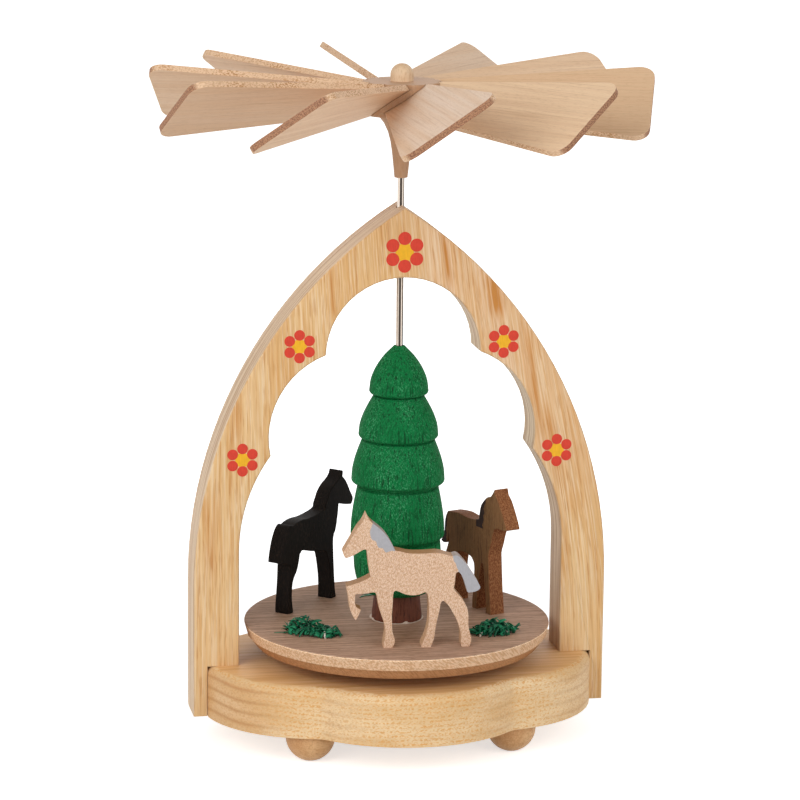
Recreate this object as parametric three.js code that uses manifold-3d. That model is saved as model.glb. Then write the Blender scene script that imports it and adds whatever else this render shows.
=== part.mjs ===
// A heat-driven wooden carousel: a scalloped base on ball feet, a gothic arch with a foiled cut-out,
// and on a steel shaft a turntable with a fir tree and three horses under a rotor of slanted blades.
// Millimetres, +Z up. The origin is on the spin axis, on the surface that the feet stand on.
// The arch stands across the view: +X is along it, and -Y faces the viewer.

import * as THREE from "three";
import { mergeVertices } from "three/addons/utils/BufferGeometryUtils.js";
import Module from "manifold-3d";

const wasm = await Module();
wasm.setup();

// Feet: turned balls, sanded flat below, each with a tenon in the base
const footDiameter = 15;
const footFlatDepth = 0.3;
const footReachX = 31;
const footReachY = 25.5;
const footTenonDiameter = 6;
const footTenonLength = 6;

// Base plate: its outline is a wide lobe to the front and back and one to each side
const baseUnderside = 9;
const baseThickness = 15.8;
const baseTopRound = 2.8;
const frontLobeRadius = 39.3;
const frontLobeReach = 48.3;
const sideLobeRadius = 35.5;
const sideLobeBulge = 0.8;
const lobeFillet = 8;

// Arch: the outside is two arcs, the cut-out is the sum of one lower, two middle and one crown circle
const archThickness = 14.5;
const archHalfWidth = 64;
const archLegWidth = 14;
const archSpringHeight = 49.3;
const archOuterRadius = 136;
const lowerFoilHeight = 60.3;
const middleFoilRadius = 26.6;
const middleFoilInset = 9;
const middleFoilRise = 35;
const crownFoilRadius = 23.7;
const crownFoilRise = 24.4;
const archEdgeRound = 0.6;
const legTongueThickness = 4.2;
const tongueCornerRound = 2.5;

// Shaft and its bearings
const shaftDiameter = 2.2;
const shaftPointLength = 2.4;
const shaftInHub = 15;
const crownBoreDiameter = 3;
const cupDiameter = 6;
const cupHeight = 4;
const cupFloor = 1;
const cupMouthDiameter = 3.4;

// Turntable
const turntableSideGap = 3;
const turntableThickness = 6.8;
const turntableGap = 4.2;
const turntableRimHeight = 3.7;
const turntableRimDraft = 0.9;
const turntableBevelReach = 2.5;
const turntableEdgeRound = 0.5;

// Tree, with its trunk
const trunkHeight = 8.4;
const trunkTopRadius = 7;
const trunkFootRadius = 7.8;
const trunkFootRound = 0.6;
const treeHeight = 77.2;
const treeRadius = 14.41;
const treeTipRadius = 1.7;
const tierLip = 1.1;
const tierGroove = 0.7;

// Horses, sawn from a board
const horseThickness = 5;
const lightHorseLength = 41.1;
const lightHorseHeight = 41.2;
const blackHorseLength = 39.4;
const blackHorseHeight = 40.3;
const brownHorseLength = 37.8;
const brownHorseHeight = 40.2;
// Where a foot of each horse stands, as shares of the turntable's radius, and where it walks, in degrees
const lightHorsePlaceShares = { x: -0.211, y: -0.647 };
const lightHorseHeading = 175;
const blackHorsePlaceShares = { x: -0.723, y: 0.226 };
const blackHorseHeading = 46;
const brownHorsePlaceShares = { x: 0.674, y: -0.017 };
const brownHorseHeading = -70;

// Tufts of shavings, placed by shares of the turntable's radius
const mossHeight = 5.2;
const leftMossLength = 19;
const leftMossWidth = 11;
const leftMossPlaceShares = { x: -0.628, y: -0.287 };
const leftMossTurn = -32;
const rightMossLength = 14;
const rightMossWidth = 10;
const rightMossPlaceShares = { x: 0.56, y: -0.46 };
const rightMossTurn = 8;
// How uneven a tuft is: lobes round its edge and humps on its top, as shares of its size
const mossLobes = 5;
const mossLobeShare = 0.1;
const mossHumpShare = 0.16;
const mossHumpTurns = { across: 7, along: 6 };

// Rotor
const hubAboveArch = 8.2;
const hubHeadRadius = 12;
const hubHeadHeight = 10;
const hubHeadRound = 0.5;
const hubStemLength = 19.1;
const hubStemFootRadius = 2;
const hubFlareRadius = 7.4;
// The stem widens steadily by this share of its flare, and the rest comes close under the head
const stemTaperShare = 0.36;
const stemFlarePower = 5;
const bladeCount = 10;
const bladeReach = 75;
const bladeThickness = 2;
const bladeRootWidth = 15.2;
const bladeTipWidth = 32.6;
const bladeCornerRound = 4.5;
const bladeSlotDepth = 3;
// A saw slot runs on past both faces of the head, and is this many times as long as the head is high
const sawSlotShare = 2.6;
const bladePitch = 34;
const firstBladeAngle = -18.3;
const finialRadius = 3.5;
const finialHeight = 5.3;
const finialPegRadius = 1.8;
const finialPegLength = 5;

// Fits
const glueGap = 0.15;
const bearingGap = 0.3;
const softGap = 0.3;
const cutOverrun = 5;

// Places and sizes that follow from these
const baseTop = baseUnderside + baseThickness;
const legInnerFace = archHalfWidth - legTongueThickness;
const sideLobeReach = legInnerFace + sideLobeBulge;
const archOuterCentre = archOuterRadius - archHalfWidth;
const archApex = archSpringHeight + Math.sqrt(archOuterRadius ** 2 - archOuterCentre ** 2);
const lowerFoil = { x: 0, y: lowerFoilHeight, r: archHalfWidth - archLegWidth };
const middleFoil = {
  x: lowerFoil.r - middleFoilInset - middleFoilRadius,
  y: lowerFoil.y + middleFoilRise,
  r: middleFoilRadius,
};
const crownFoil = { x: 0, y: middleFoil.y + crownFoilRise, r: crownFoilRadius };
const turntableRadius = lowerFoil.r - turntableSideGap;
const turntableTop = baseTop + turntableGap + turntableThickness;
const treeFoot = turntableTop + trunkHeight;
const hubFoot = archApex + hubAboveArch;
const hubHeadFoot = hubFoot + hubStemLength;
const hubHeadTop = hubHeadFoot + hubHeadHeight;
const cupHoleFloor = baseTop - cupHeight;
const shaftPoint = cupHoleFloor + cupFloor + bearingGap;
const shaftTop = hubFoot + shaftInHub;
const shaftRadius = shaftDiameter / 2;
const gluedBoreRadius = shaftRadius + glueGap;

// Finish
const ash = new THREE.MeshStandardMaterial({ color: 0xe2bf8c, roughness: 0.6 });
const beech = new THREE.MeshStandardMaterial({ color: 0xc9a583, roughness: 0.65 });
const turntableWood = new THREE.MeshStandardMaterial({ color: 0xa88a74, roughness: 0.65 });
const greenStain = new THREE.MeshStandardMaterial({ color: 0x16743f, roughness: 0.7 });
const brownStain = new THREE.MeshStandardMaterial({ color: 0x4a2a24, roughness: 0.6 });
const lightWood = new THREE.MeshStandardMaterial({ color: 0xe3bf9a, roughness: 0.65 });
const blackStain = new THREE.MeshStandardMaterial({ color: 0x1c1616, roughness: 0.6 });
const horseBrown = new THREE.MeshStandardMaterial({ color: 0x6a452c, roughness: 0.6 });
const shavings = new THREE.MeshStandardMaterial({ color: 0x0f5a3c, roughness: 0.85 });
const steel = new THREE.MeshStandardMaterial({ color: 0x9a9a98, roughness: 0.3, metalness: 1 });
const brass = new THREE.MeshStandardMaterial({ color: 0xb8944e, roughness: 0.35, metalness: 1 });

// Smoothness of round shapes
const arcSteps = 12;
const roundSides = 40;
const slimSides = 20;
const treeSides = 28;
const stemSteps = 7;
const ballSteps = 8;
const mossSides = 18;
const mossRows = 10;

// Leaves out the triangles that merging has folded to a line.
function closed(geometry) {
  const bare = new THREE.BufferGeometry();
  bare.setAttribute("position", geometry.getAttribute("position").clone());
  if (geometry.index) bare.setIndex(geometry.index.clone());
  const merged = mergeVertices(bare);
  const kept = [];
  const corners = merged.index.array;
  for (let i = 0; i < corners.length; i += 3) {
    const [a, b, c] = corners.slice(i, i + 3);
    if (a !== b && b !== c && c !== a) kept.push(a, b, c);
  }
  merged.setIndex(kept);
  return merged;
}

function solidOf(geometry) {
  const merged = closed(geometry);
  const vertProperties = new Float32Array(merged.getAttribute("position").array);
  const triVerts = new Uint32Array(merged.index.array);
  return new wasm.Manifold(new wasm.Mesh({ numProp: 3, vertProperties, triVerts }));
}

function geometryOf(solid) {
  const mesh = solid.getMesh();
  const geometry = new THREE.BufferGeometry();
  geometry.setAttribute("position", new THREE.BufferAttribute(mesh.vertProperties, 3));
  geometry.setIndex(new THREE.BufferAttribute(mesh.triVerts, 1));
  return geometry;
}

function cut(geometry, ...tools) {
  return geometryOf(tools.reduce((left, tool) => left.subtract(solidOf(tool)), solidOf(geometry)));
}

function named(name, geometry, material) {
  const shown = geometry.index ? geometry.toNonIndexed() : geometry;
  shown.computeVertexNormals();
  const mesh = new THREE.Mesh(shown, material);
  mesh.name = name;
  return mesh;
}

// Turns a profile of [radius, height] points about the Z axis.
function turned(profile, sides) {
  const points = profile.map(([radius, height]) => new THREE.Vector2(radius, height));
  return new THREE.LatheGeometry(points, sides).rotateX(Math.PI / 2);
}

// A round rod along Z from one height to another, for parts and for drilling.
function rod(radius, from, to, sides = slimSides) {
  const length = to - from;
  const cylinder = new THREE.CylinderGeometry(radius, radius, length, sides);
  return cylinder.rotateX(Math.PI / 2).translate(0, 0, (from + to) / 2);
}

function block(sizeX, sizeY, sizeZ, x, y, z) {
  return new THREE.BoxGeometry(sizeX, sizeY, sizeZ).translate(x, y, z);
}

// A board with its outline in X and Z, its thickness along Y, and rounded edges.
function uprightBoard(shape, thickness, edgeRound) {
  const board = new THREE.ExtrudeGeometry(shape, {
    depth: thickness - edgeRound * 2,
    bevelEnabled: true,
    bevelThickness: edgeRound,
    bevelSize: edgeRound,
    bevelOffset: -edgeRound,
    bevelSegments: 2,
  });
  return board.rotateX(Math.PI / 2).translate(0, thickness / 2 - edgeRound, 0);
}

// Points of an arc, from one angle to another, both ends included.
function arcPoints(centreX, centreY, radius, from, to, steps) {
  return Array.from({ length: steps + 1 }, (unused, i) => {
    const angle = from + ((to - from) * i) / steps;
    return [centreX + radius * Math.cos(angle), centreY + radius * Math.sin(angle)];
  });
}

// Where two circles cross, on the left of the way from the first centre to the second.
function crossing(a, b) {
  const apart = Math.hypot(b.x - a.x, b.y - a.y);
  const along = (apart ** 2 + a.r ** 2 - b.r ** 2) / (2 * apart);
  const aside = Math.sqrt(a.r ** 2 - along ** 2);
  const ux = (b.x - a.x) / apart;
  const uy = (b.y - a.y) / apart;
  return { x: a.x + ux * along - uy * aside, y: a.y + uy * along + ux * aside };
}

function angleFrom(circle, point) {
  return Math.atan2(point.y - circle.y, point.x - circle.x);
}

// The plate's outline: four lobes, and between them a hollow that touches both neighbours.
function baseOutline() {
  const front = { x: 0, y: frontLobeRadius - frontLobeReach, r: frontLobeRadius };
  const side = { x: sideLobeReach - sideLobeRadius, y: 0, r: sideLobeRadius };
  const grownFront = { ...front, r: front.r + lobeFillet };
  const grownSide = { ...side, r: side.r + lobeFillet };
  const hollow = crossing(grownSide, grownFront);
  const frontEnd = angleFrom(front, hollow);
  const sideEnd = angleFrom(side, hollow);
  const quarter = [
    ...arcPoints(front.x, front.y, front.r, -Math.PI / 2, frontEnd, arcSteps),
    ...arcPoints(hollow.x, hollow.y, lobeFillet, frontEnd + Math.PI, sideEnd + Math.PI, arcSteps / 2)
      .slice(1, -1),
    ...arcPoints(side.x, side.y, side.r, sideEnd, 0, arcSteps),
  ];
  const half = [...quarter, ...quarter.slice(0, -1).map(([x, y]) => [x, -y]).reverse()];
  const whole = [...half, ...half.slice(1, -1).map(([x, y]) => [-x, y]).reverse()];
  return whole.map(([x, y]) => new THREE.Vector2(x, y));
}

function basePlate() {
  const plate = new THREE.ExtrudeGeometry(new THREE.Shape(baseOutline()), {
    depth: baseThickness,
    bevelEnabled: true,
    bevelThickness: baseTopRound,
    bevelSize: baseTopRound,
    bevelOffset: -baseTopRound,
    bevelSegments: 3,
  }).translate(0, 0, baseUnderside - baseTopRound);
  const wide = archHalfWidth * 2;
  const legFlat = legInnerFace - glueGap;
  const sideCut = (side) => {
    const x = side * (legFlat + cutOverrun / 2);
    return block(cutOverrun, archThickness * 2, baseTop * 2, x, 0, baseTop);
  };
  return cut(
    plate,
    block(wide, wide, baseUnderside, 0, 0, baseUnderside / 2),
    sideCut(-1),
    sideCut(1),
    rod(cupDiameter / 2 + glueGap, cupHoleFloor, baseTop + cutOverrun, roundSides),
    ...footPlaces().map(({ x, y }) => {
      const holeTop = baseUnderside + footTenonLength + glueGap;
      const hole = rod(footTenonDiameter / 2 + glueGap, baseUnderside - cutOverrun, holeTop);
      return hole.translate(x, y, 0);
    }),
  );
}

function footPlaces() {
  return [
    { name: "foot_front_left", x: -footReachX, y: -footReachY },
    { name: "foot_front_right", x: footReachX, y: -footReachY },
    { name: "foot_back_left", x: -footReachX, y: footReachY },
    { name: "foot_back_right", x: footReachX, y: footReachY },
  ];
}

// A ball cut flat where it stands and where it meets the base, turned with its tenon.
function foot() {
  const radius = footDiameter / 2;
  const centre = radius - footFlatDepth;
  const from = Math.asin(-centre / radius);
  const to = Math.asin((baseUnderside - centre) / radius);
  const tenonRadius = footTenonDiameter / 2;
  return turned(
    [
      [0, 0],
      ...arcPoints(0, centre, radius, from, to, ballSteps),
      [tenonRadius, baseUnderside],
      [tenonRadius, baseUnderside + footTenonLength],
      [0, baseUnderside + footTenonLength],
    ],
    slimSides,
  );
}

// The arch is drawn with legs down to the underside of the base, then cut to sit over it.
function archOutline() {
  const lowCusp = crossing(middleFoil, lowerFoil);
  const highCusp = crossing(crownFoil, middleFoil);
  const apexAngle = Math.atan2(archApex - archSpringHeight, archOuterCentre);
  const foilArc = ({ x, y, r }, from, to) => arcPoints(x, y, r, from, to, arcSteps).slice(1);
  const right = [
    [archHalfWidth, baseUnderside],
    ...arcPoints(-archOuterCentre, archSpringHeight, archOuterRadius, 0, apexAngle, arcSteps * 2),
  ];
  const opening = [
    [0, crownFoil.y + crownFoil.r],
    ...foilArc(crownFoil, Math.PI / 2, angleFrom(crownFoil, highCusp)),
    ...foilArc(middleFoil, angleFrom(middleFoil, highCusp), angleFrom(middleFoil, lowCusp)),
    ...foilArc(lowerFoil, angleFrom(lowerFoil, lowCusp), 0),
    [lowerFoil.r, baseUnderside],
  ];
  const mirrored = (points) => points.map(([x, y]) => [-x, y]).reverse();
  const outline = [...right, ...mirrored(right).slice(1), ...mirrored(opening), ...opening.slice(1)];
  return new THREE.Shape(outline.map(([x, y]) => new THREE.Vector2(x, y)));
}

// What is taken off the lower back corner of both leg tongues to leave it round.
function tongueCornerWaste() {
  const back = archThickness / 2;
  const round = tongueCornerRound;
  const corner = [
    [back - round, baseUnderside - cutOverrun],
    ...arcPoints(back - round, baseUnderside + round, round, -Math.PI / 2, 0, arcSteps / 2),
    [back + cutOverrun, baseUnderside + round],
    [back + cutOverrun, baseUnderside - cutOverrun],
  ];
  const shape = new THREE.Shape(corner.map(([y, z]) => new THREE.Vector2(y, z)));
  const length = (archHalfWidth + cutOverrun) * 2;
  const waste = new THREE.ExtrudeGeometry(shape, { depth: length, bevelEnabled: false });
  return waste.translate(0, 0, -length / 2).rotateX(Math.PI / 2).rotateZ(Math.PI / 2);
}

function archFrame() {
  return cut(
    uprightBoard(archOutline(), archThickness, archEdgeRound),
    block(legInnerFace * 2, archThickness * 2, baseTop * 2, 0, 0, 0),
    tongueCornerWaste(),
    rod(crownBoreDiameter / 2, crownFoil.y, archApex + cutOverrun),
  );
}

// A small hard cup with a cone in its floor for the point of the shaft.
function bearingCup() {
  const outer = cupDiameter / 2;
  const mouth = cupMouthDiameter / 2;
  const floor = cupHoleFloor + cupFloor;
  return turned(
    [
      [0, cupHoleFloor],
      [outer, cupHoleFloor],
      [outer, baseTop],
      [mouth, baseTop],
      [mouth, floor + shaftPointLength],
      [0, floor],
    ],
    slimSides,
  );
}

function shaft() {
  return turned(
    [
      [0, shaftPoint],
      [shaftRadius, shaftPoint + shaftPointLength],
      [shaftRadius, shaftTop],
      [0, shaftTop],
    ],
    slimSides,
  );
}

function turntable() {
  const foot = turntableTop - turntableThickness;
  const rimFoot = turntableTop - turntableRimHeight;
  const rimFootRadius = turntableRadius - turntableRimDraft;
  const edge = turntableRadius - turntableEdgeRound;
  return turned(
    [
      [gluedBoreRadius, foot],
      [rimFootRadius - turntableBevelReach, foot],
      [rimFootRadius, rimFoot],
      ...arcPoints(edge, turntableTop - turntableEdgeRound, turntableEdgeRound, 0, Math.PI / 2, 3),
      [gluedBoreRadius, turntableTop],
      [gluedBoreRadius, foot],
    ],
    roundSides + slimSides,
  );
}

function treeTrunk() {
  const footEdge = trunkFootRadius - trunkFootRound;
  return turned(
    [
      [gluedBoreRadius, turntableTop],
      ...arcPoints(footEdge, turntableTop + trunkFootRound, trunkFootRound, -Math.PI / 2, 0, 3),
      [trunkTopRadius, treeFoot],
      [gluedBoreRadius, treeFoot],
      [gluedBoreRadius, turntableTop],
    ],
    slimSides,
  );
}

// From the lowest tier up: the widest radius and its height, and the waist below it, as shares of the
// tree's radius and height. Fullness under 1 swells the shoulder of a tier.
const tierShares = [
  { rim: 0.933, rimHeight: 0.146, waist: 0.62, waistHeight: 0.004, fullness: 1 },
  { rim: 1, rimHeight: 0.243, waist: 0.915, waistHeight: 0.212, fullness: 1 },
  { rim: 0.993, rimHeight: 0.464, waist: 0.872, waistHeight: 0.430, fullness: 1 },
  { rim: 0.848, rimHeight: 0.646, waist: 0.78, waistHeight: 0.622, fullness: 1 },
  { rim: 0.63, rimHeight: 0.822, waist: 0.546, waistHeight: 0.799, fullness: 0.85 },
];
const shoulderSteps = 4;

function tree() {
  const profile = [[gluedBoreRadius, treeFoot]];
  tierShares.forEach((tier, i) => {
    const rim = tier.rim * treeRadius;
    const rimHeight = treeFoot + tier.rimHeight * treeHeight;
    const waist = tier.waist * treeRadius;
    const waistHeight = treeFoot + tier.waistHeight * treeHeight;
    const above = tierShares[i + 1];
    const top = above ? treeFoot + above.waistHeight * treeHeight : treeFoot + treeHeight;
    const topRadius = above ? above.waist * treeRadius : treeTipRadius;
    if (i === 0) {
      const drop = rimHeight - waistHeight;
      for (let step = 0; step < shoulderSteps; step++) {
        const turn = (step / shoulderSteps) * (Math.PI / 2);
        profile.push([
          waist + (rim - waist) * Math.sin(turn),
          rimHeight - drop * Math.cos(turn),
        ]);
      }
    } else {
      profile.push([waist - tierGroove, waistHeight + tierGroove / 2]);
      profile.push(...arcPoints(rim - tierLip, rimHeight, tierLip, -Math.PI / 2, 0, 3).slice(0, 3));
    }
    for (let step = 0; step <= shoulderSteps; step++) {
      const down = 1 - step / shoulderSteps;
      const swell = Math.sin((down * Math.PI) / 2) ** tier.fullness;
      profile.push([topRadius + (rim - topRadius) * swell, top - (top - rimHeight) * down]);
    }
  });
  profile.push([gluedBoreRadius, treeFoot + treeHeight], [gluedBoreRadius, treeFoot]);
  return turned(profile, treeSides);
}

// Horse outlines, clockwise from the ear, as shares of length (from the rearmost point, forward) and
// of height. Each inner list is one smooth stretch, and the stretches meet in corners.
const lightHorseShares = [
  [[0.835, 1], [0.848, 0.97], [0.869, 0.932], [0.896, 0.899], [0.926, 0.849], [0.956, 0.796],
    [0.984, 0.747], [1, 0.719], [0.997, 0.698]],
  [[0.997, 0.698], [0.988, 0.682], [0.974, 0.678], [0.944, 0.688], [0.904, 0.709], [0.872, 0.728],
    [0.854, 0.737]],
  [[0.854, 0.737], [0.838, 0.739], [0.828, 0.724], [0.819, 0.672], [0.813, 0.612], [0.8, 0.534]],
  [[0.8, 0.534], [0.837, 0.513], [0.884, 0.493], [0.932, 0.479], [0.974, 0.465]],
  [[0.974, 0.465], [0.968, 0.425], [0.958, 0.372], [0.952, 0.317], [0.945, 0.282], [0.926, 0.24],
    [0.907, 0.212]],
  [[0.907, 0.212], [0.89, 0.239], [0.869, 0.29]],
  [[0.869, 0.29], [0.898, 0.304], [0.912, 0.329], [0.913, 0.368], [0.911, 0.406]],
  [[0.911, 0.406], [0.855, 0.409], [0.804, 0.416], [0.778, 0.418], [0.76, 0.409], [0.749, 0.369],
    [0.735, 0.297], [0.715, 0.233], [0.697, 0.182], [0.689, 0.135], [0.691, 0.0898],
    [0.698, 0.0523], [0.703, 0]],
  [[0.703, 0], [0.637, 0]],
  [[0.637, 0], [0.623, 0.0313], [0.619, 0.0538], [0.626, 0.0826], [0.638, 0.123], [0.642, 0.187],
    [0.643, 0.247], [0.638, 0.329], [0.635, 0.397], [0.627, 0.423], [0.611, 0.427], [0.585, 0.417],
    [0.548, 0.4], [0.512, 0.393], [0.468, 0.392], [0.432, 0.4], [0.403, 0.413], [0.386, 0.401],
    [0.377, 0.37], [0.371, 0.302], [0.371, 0.227], [0.376, 0.162], [0.391, 0.0963], [0.412, 0.0455],
    [0.423, 0.021], [0.425, 0]],
  [[0.425, 0], [0.358, 0]],
  [[0.358, 0], [0.341, 0.0381], [0.33, 0.0831], [0.324, 0.137], [0.312, 0.203], [0.296, 0.271],
    [0.289, 0.32], [0.275, 0.345], [0.254, 0.336], [0.227, 0.307], [0.2, 0.261], [0.173, 0.211],
    [0.15, 0.154], [0.135, 0.0946], [0.135, 0.0395], [0.131, 0]],
  [[0.131, 0], [0.0741, 0]],
  [[0.0741, 0], [0.0635, 0.0254], [0.0596, 0.0615], [0.0721, 0.109], [0.0824, 0.161],
    [0.0826, 0.229], [0.0907, 0.282], [0.109, 0.323], [0.136, 0.364], [0.164, 0.397],
    [0.189, 0.426], [0.192, 0.447]],
  [[0.192, 0.447], [0.184, 0.486], [0.182, 0.531], [0.173, 0.556], [0.159, 0.561], [0.144, 0.548],
    [0.127, 0.515], [0.109, 0.465], [0.094, 0.413]],
  [[0.094, 0.413], [0.0851, 0.406], [0.0558, 0.408], [0.0223, 0.417], [0.00195, 0.432], [0, 0.449]],
  [[0, 0.449], [0.0189, 0.488], [0.0571, 0.547], [0.0982, 0.612], [0.136, 0.657], [0.161, 0.679],
    [0.18, 0.686]],
  [[0.18, 0.686], [0.204, 0.679], [0.235, 0.684], [0.275, 0.698], [0.326, 0.706], [0.384, 0.703],
    [0.457, 0.701], [0.53, 0.706], [0.581, 0.719], [0.625, 0.728]],
  [[0.625, 0.728], [0.641, 0.762], [0.669, 0.812], [0.703, 0.859], [0.744, 0.897], [0.783, 0.928],
    [0.813, 0.957], [0.835, 1]],
];

const blackHorseShares = [
  [[0.845, 1], [0.858, 0.992], [0.853, 0.952]],
  [[0.853, 0.952], [0.885, 0.925], [0.92, 0.885], [0.96, 0.82], [1, 0.762], [0.998, 0.73],
    [0.978, 0.705]],
  [[0.978, 0.705], [0.9, 0.718], [0.8, 0.743]],
  [[0.8, 0.743], [0.788, 0.66], [0.762, 0.55], [0.728, 0.49], [0.728, 0.37], [0.737, 0.25],
    [0.747, 0.13], [0.757, 0.05], [0.772, 0]],
  [[0.772, 0], [0.69, 0]],
  [[0.69, 0], [0.692, 0.08], [0.688, 0.17], [0.673, 0.26], [0.647, 0.35], [0.62, 0.395],
    [0.54, 0.413], [0.44, 0.432], [0.37, 0.45], [0.295, 0.468], [0.262, 0.455]],
  [[0.262, 0.455], [0.25, 0.4], [0.222, 0.325], [0.18, 0.272], [0.158, 0.21], [0.153, 0.12],
    [0.173, 0]],
  [[0.173, 0], [0.1, 0]],
  [[0.1, 0], [0.098, 0.05], [0.108, 0.14], [0.12, 0.25], [0.127, 0.38]],
  [[0.127, 0.38], [0, 0.42]],
  [[0, 0.42], [0.015, 0.5], [0.045, 0.59], [0.085, 0.66], [0.128, 0.695], [0.17, 0.685]],
  [[0.17, 0.685], [0.22, 0.702], [0.3, 0.71], [0.38, 0.706], [0.48, 0.713], [0.573, 0.727],
    [0.612, 0.742]],
  [[0.612, 0.742], [0.617, 0.77], [0.642, 0.81], [0.668, 0.852], [0.72, 0.898], [0.79, 0.933],
    [0.83, 0.965], [0.845, 1]],
];

const brownHorseShares = [
  [[0.815, 1], [0.832, 0.95]],
  [[0.832, 0.95], [0.88, 0.91], [0.928, 0.845], [0.968, 0.783], [0.998, 0.728], [1, 0.71]],
  [[1, 0.71], [0.93, 0.7], [0.865, 0.702], [0.818, 0.68]],
  [[0.818, 0.68], [0.795, 0.625], [0.77, 0.55], [0.74, 0.482], [0.742, 0.42], [0.752, 0.3],
    [0.762, 0.19], [0.78, 0.075], [0.788, 0]],
  [[0.788, 0], [0.706, 0]],
  [[0.706, 0], [0.712, 0.07], [0.69, 0.187], [0.668, 0.34], [0.648, 0.385], [0.622, 0.36],
    [0.6, 0.25], [0.575, 0.12], [0.563, 0]],
  [[0.563, 0], [0.5, 0]],
  [[0.5, 0], [0.5, 0.065], [0.51, 0.13], [0.523, 0.29], [0.512, 0.365], [0.465, 0.4], [0.38, 0.412],
    [0.29, 0.405], [0.24, 0.365], [0.222, 0.3], [0.21, 0.2], [0.225, 0.1], [0.233, 0]],
  [[0.233, 0], [0.166, 0]],
  [[0.166, 0], [0.158, 0.08], [0.15, 0.18], [0.143, 0.225], [0.126, 0.215], [0.1, 0.12], [0.096, 0]],
  [[0.096, 0], [0.026, 0]],
  [[0.026, 0], [0.02, 0.11], [0.03, 0.22], [0.055, 0.31], [0.088, 0.385], [0.118, 0.45],
    [0.124, 0.49]],
  [[0.124, 0.49], [0.095, 0.44], [0.04, 0.425], [0, 0.436]],
  [[0, 0.436], [0.03, 0.48], [0.05, 0.53], [0.056, 0.6], [0.072, 0.65], [0.1, 0.69]],
  [[0.1, 0.69], [0.18, 0.7], [0.28, 0.708], [0.38, 0.7], [0.48, 0.702], [0.585, 0.72]],
  [[0.585, 0.72], [0.592, 0.77], [0.612, 0.835], [0.655, 0.88], [0.7, 0.915], [0.757, 0.933]],
  [[0.757, 0.933], [0.79, 0.965], [0.815, 1]],
];

// A horse walks along +X, with its rearmost point at X 0 and its feet at Z 0, and stands on Y 0.
function horse(stretches, length, height) {
  const place = ([along, up]) => new THREE.Vector2(along * length, up * height);
  const shape = new THREE.Shape();
  shape.moveTo(...place(stretches[0][0]).toArray());
  for (const stretch of stretches) {
    const next = stretch.slice(1).map(place);
    if (next.length > 1) shape.splineThru(next);
    else shape.lineTo(next[0].x, next[0].y);
  }
  const board = new THREE.ExtrudeGeometry(shape, {
    depth: horseThickness,
    bevelEnabled: false,
    curveSegments: 2,
  });
  return board.rotateX(Math.PI / 2).translate(0, horseThickness / 2, 0);
}

// Puts a horse down so that its foot at the given reach from its rear is at the given place.
function standHorse(mesh, placeShares, heading, reach) {
  const turn = THREE.MathUtils.degToRad(heading);
  const x = placeShares.x * turntableRadius - reach * Math.cos(turn);
  const y = placeShares.y * turntableRadius - reach * Math.sin(turn);
  mesh.rotation.z = turn;
  mesh.position.set(x, y, turntableTop);
  return mesh;
}

// A low mound with a flat foot and an uneven surface.
function mossTuft(length, width) {
  const mound = new THREE.SphereGeometry(1, mossSides, mossRows).rotateX(Math.PI / 2);
  const place = mound.getAttribute("position");
  for (let i = 0; i < place.count; i++) {
    const [x, y, z] = [place.getX(i), place.getY(i), place.getZ(i)];
    const ripple = 1 + mossLobeShare * Math.sin(mossLobes * Math.atan2(y, x)) * (1 - z * z);
    const humps = Math.sin(mossHumpTurns.across * x + 1) * Math.cos(mossHumpTurns.along * y);
    const bump = 1 + mossHumpShare * humps;
    const [across, along] = [(ripple * width) / 2, (ripple * length) / 2];
    place.setXYZ(i, x * along, y * across, Math.max(z, 0) * mossHeight * bump);
  }
  return closed(mound);
}

function placeMoss(mesh, placeShares, turn) {
  const x = placeShares.x * turntableRadius;
  const y = placeShares.y * turntableRadius;
  mesh.rotation.z = THREE.MathUtils.degToRad(turn);
  mesh.position.set(x, y, turntableTop + softGap);
  return mesh;
}

// A blade along +X with its chord along Y, between the floor of its slot and its straight tip.
function bladeBoard() {
  const root = hubHeadRadius - bladeSlotDepth + glueGap;
  const rootHalf = bladeRootWidth / 2;
  const tipHalf = bladeTipWidth / 2;
  const length = bladeReach - root;
  const slope = Math.atan2(tipHalf - rootHalf, length);
  const cornerX = bladeReach - bladeCornerRound;
  const cornerY = tipHalf - (bladeCornerRound * (1 + Math.sin(slope))) / Math.cos(slope);
  const upper = arcPoints(cornerX, cornerY, bladeCornerRound, 0, Math.PI / 2 + slope, 6);
  const lower = upper.map(([x, y]) => [x, -y]).reverse();
  const outline = [[root, rootHalf], [root, -rootHalf], ...lower, ...upper];
  const shape = new THREE.Shape(outline.map(([x, y]) => new THREE.Vector2(x, y)));
  const board = new THREE.ExtrudeGeometry(shape, { depth: bladeThickness, bevelEnabled: false });
  return board.translate(0, 0, -bladeThickness / 2);
}

// Tilts a piece about its radial axis by the blade pitch, and lifts it to the middle of the head.
function pitched(geometry) {
  const middle = hubHeadTop - hubHeadHeight / 2;
  return geometry.rotateX(THREE.MathUtils.degToRad(bladePitch)).translate(0, 0, middle);
}

function bladeAngle(index) {
  return THREE.MathUtils.degToRad(firstBladeAngle + (360 / bladeCount) * index);
}

// The blade is sanded flush with the top and the underside of the head.
function blade() {
  return cut(
    pitched(bladeBoard()),
    rod(hubHeadRadius, hubHeadTop, hubHeadTop + cutOverrun, roundSides),
    rod(hubHeadRadius, hubHeadFoot - cutOverrun, hubHeadFoot, roundSides),
  );
}

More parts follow.
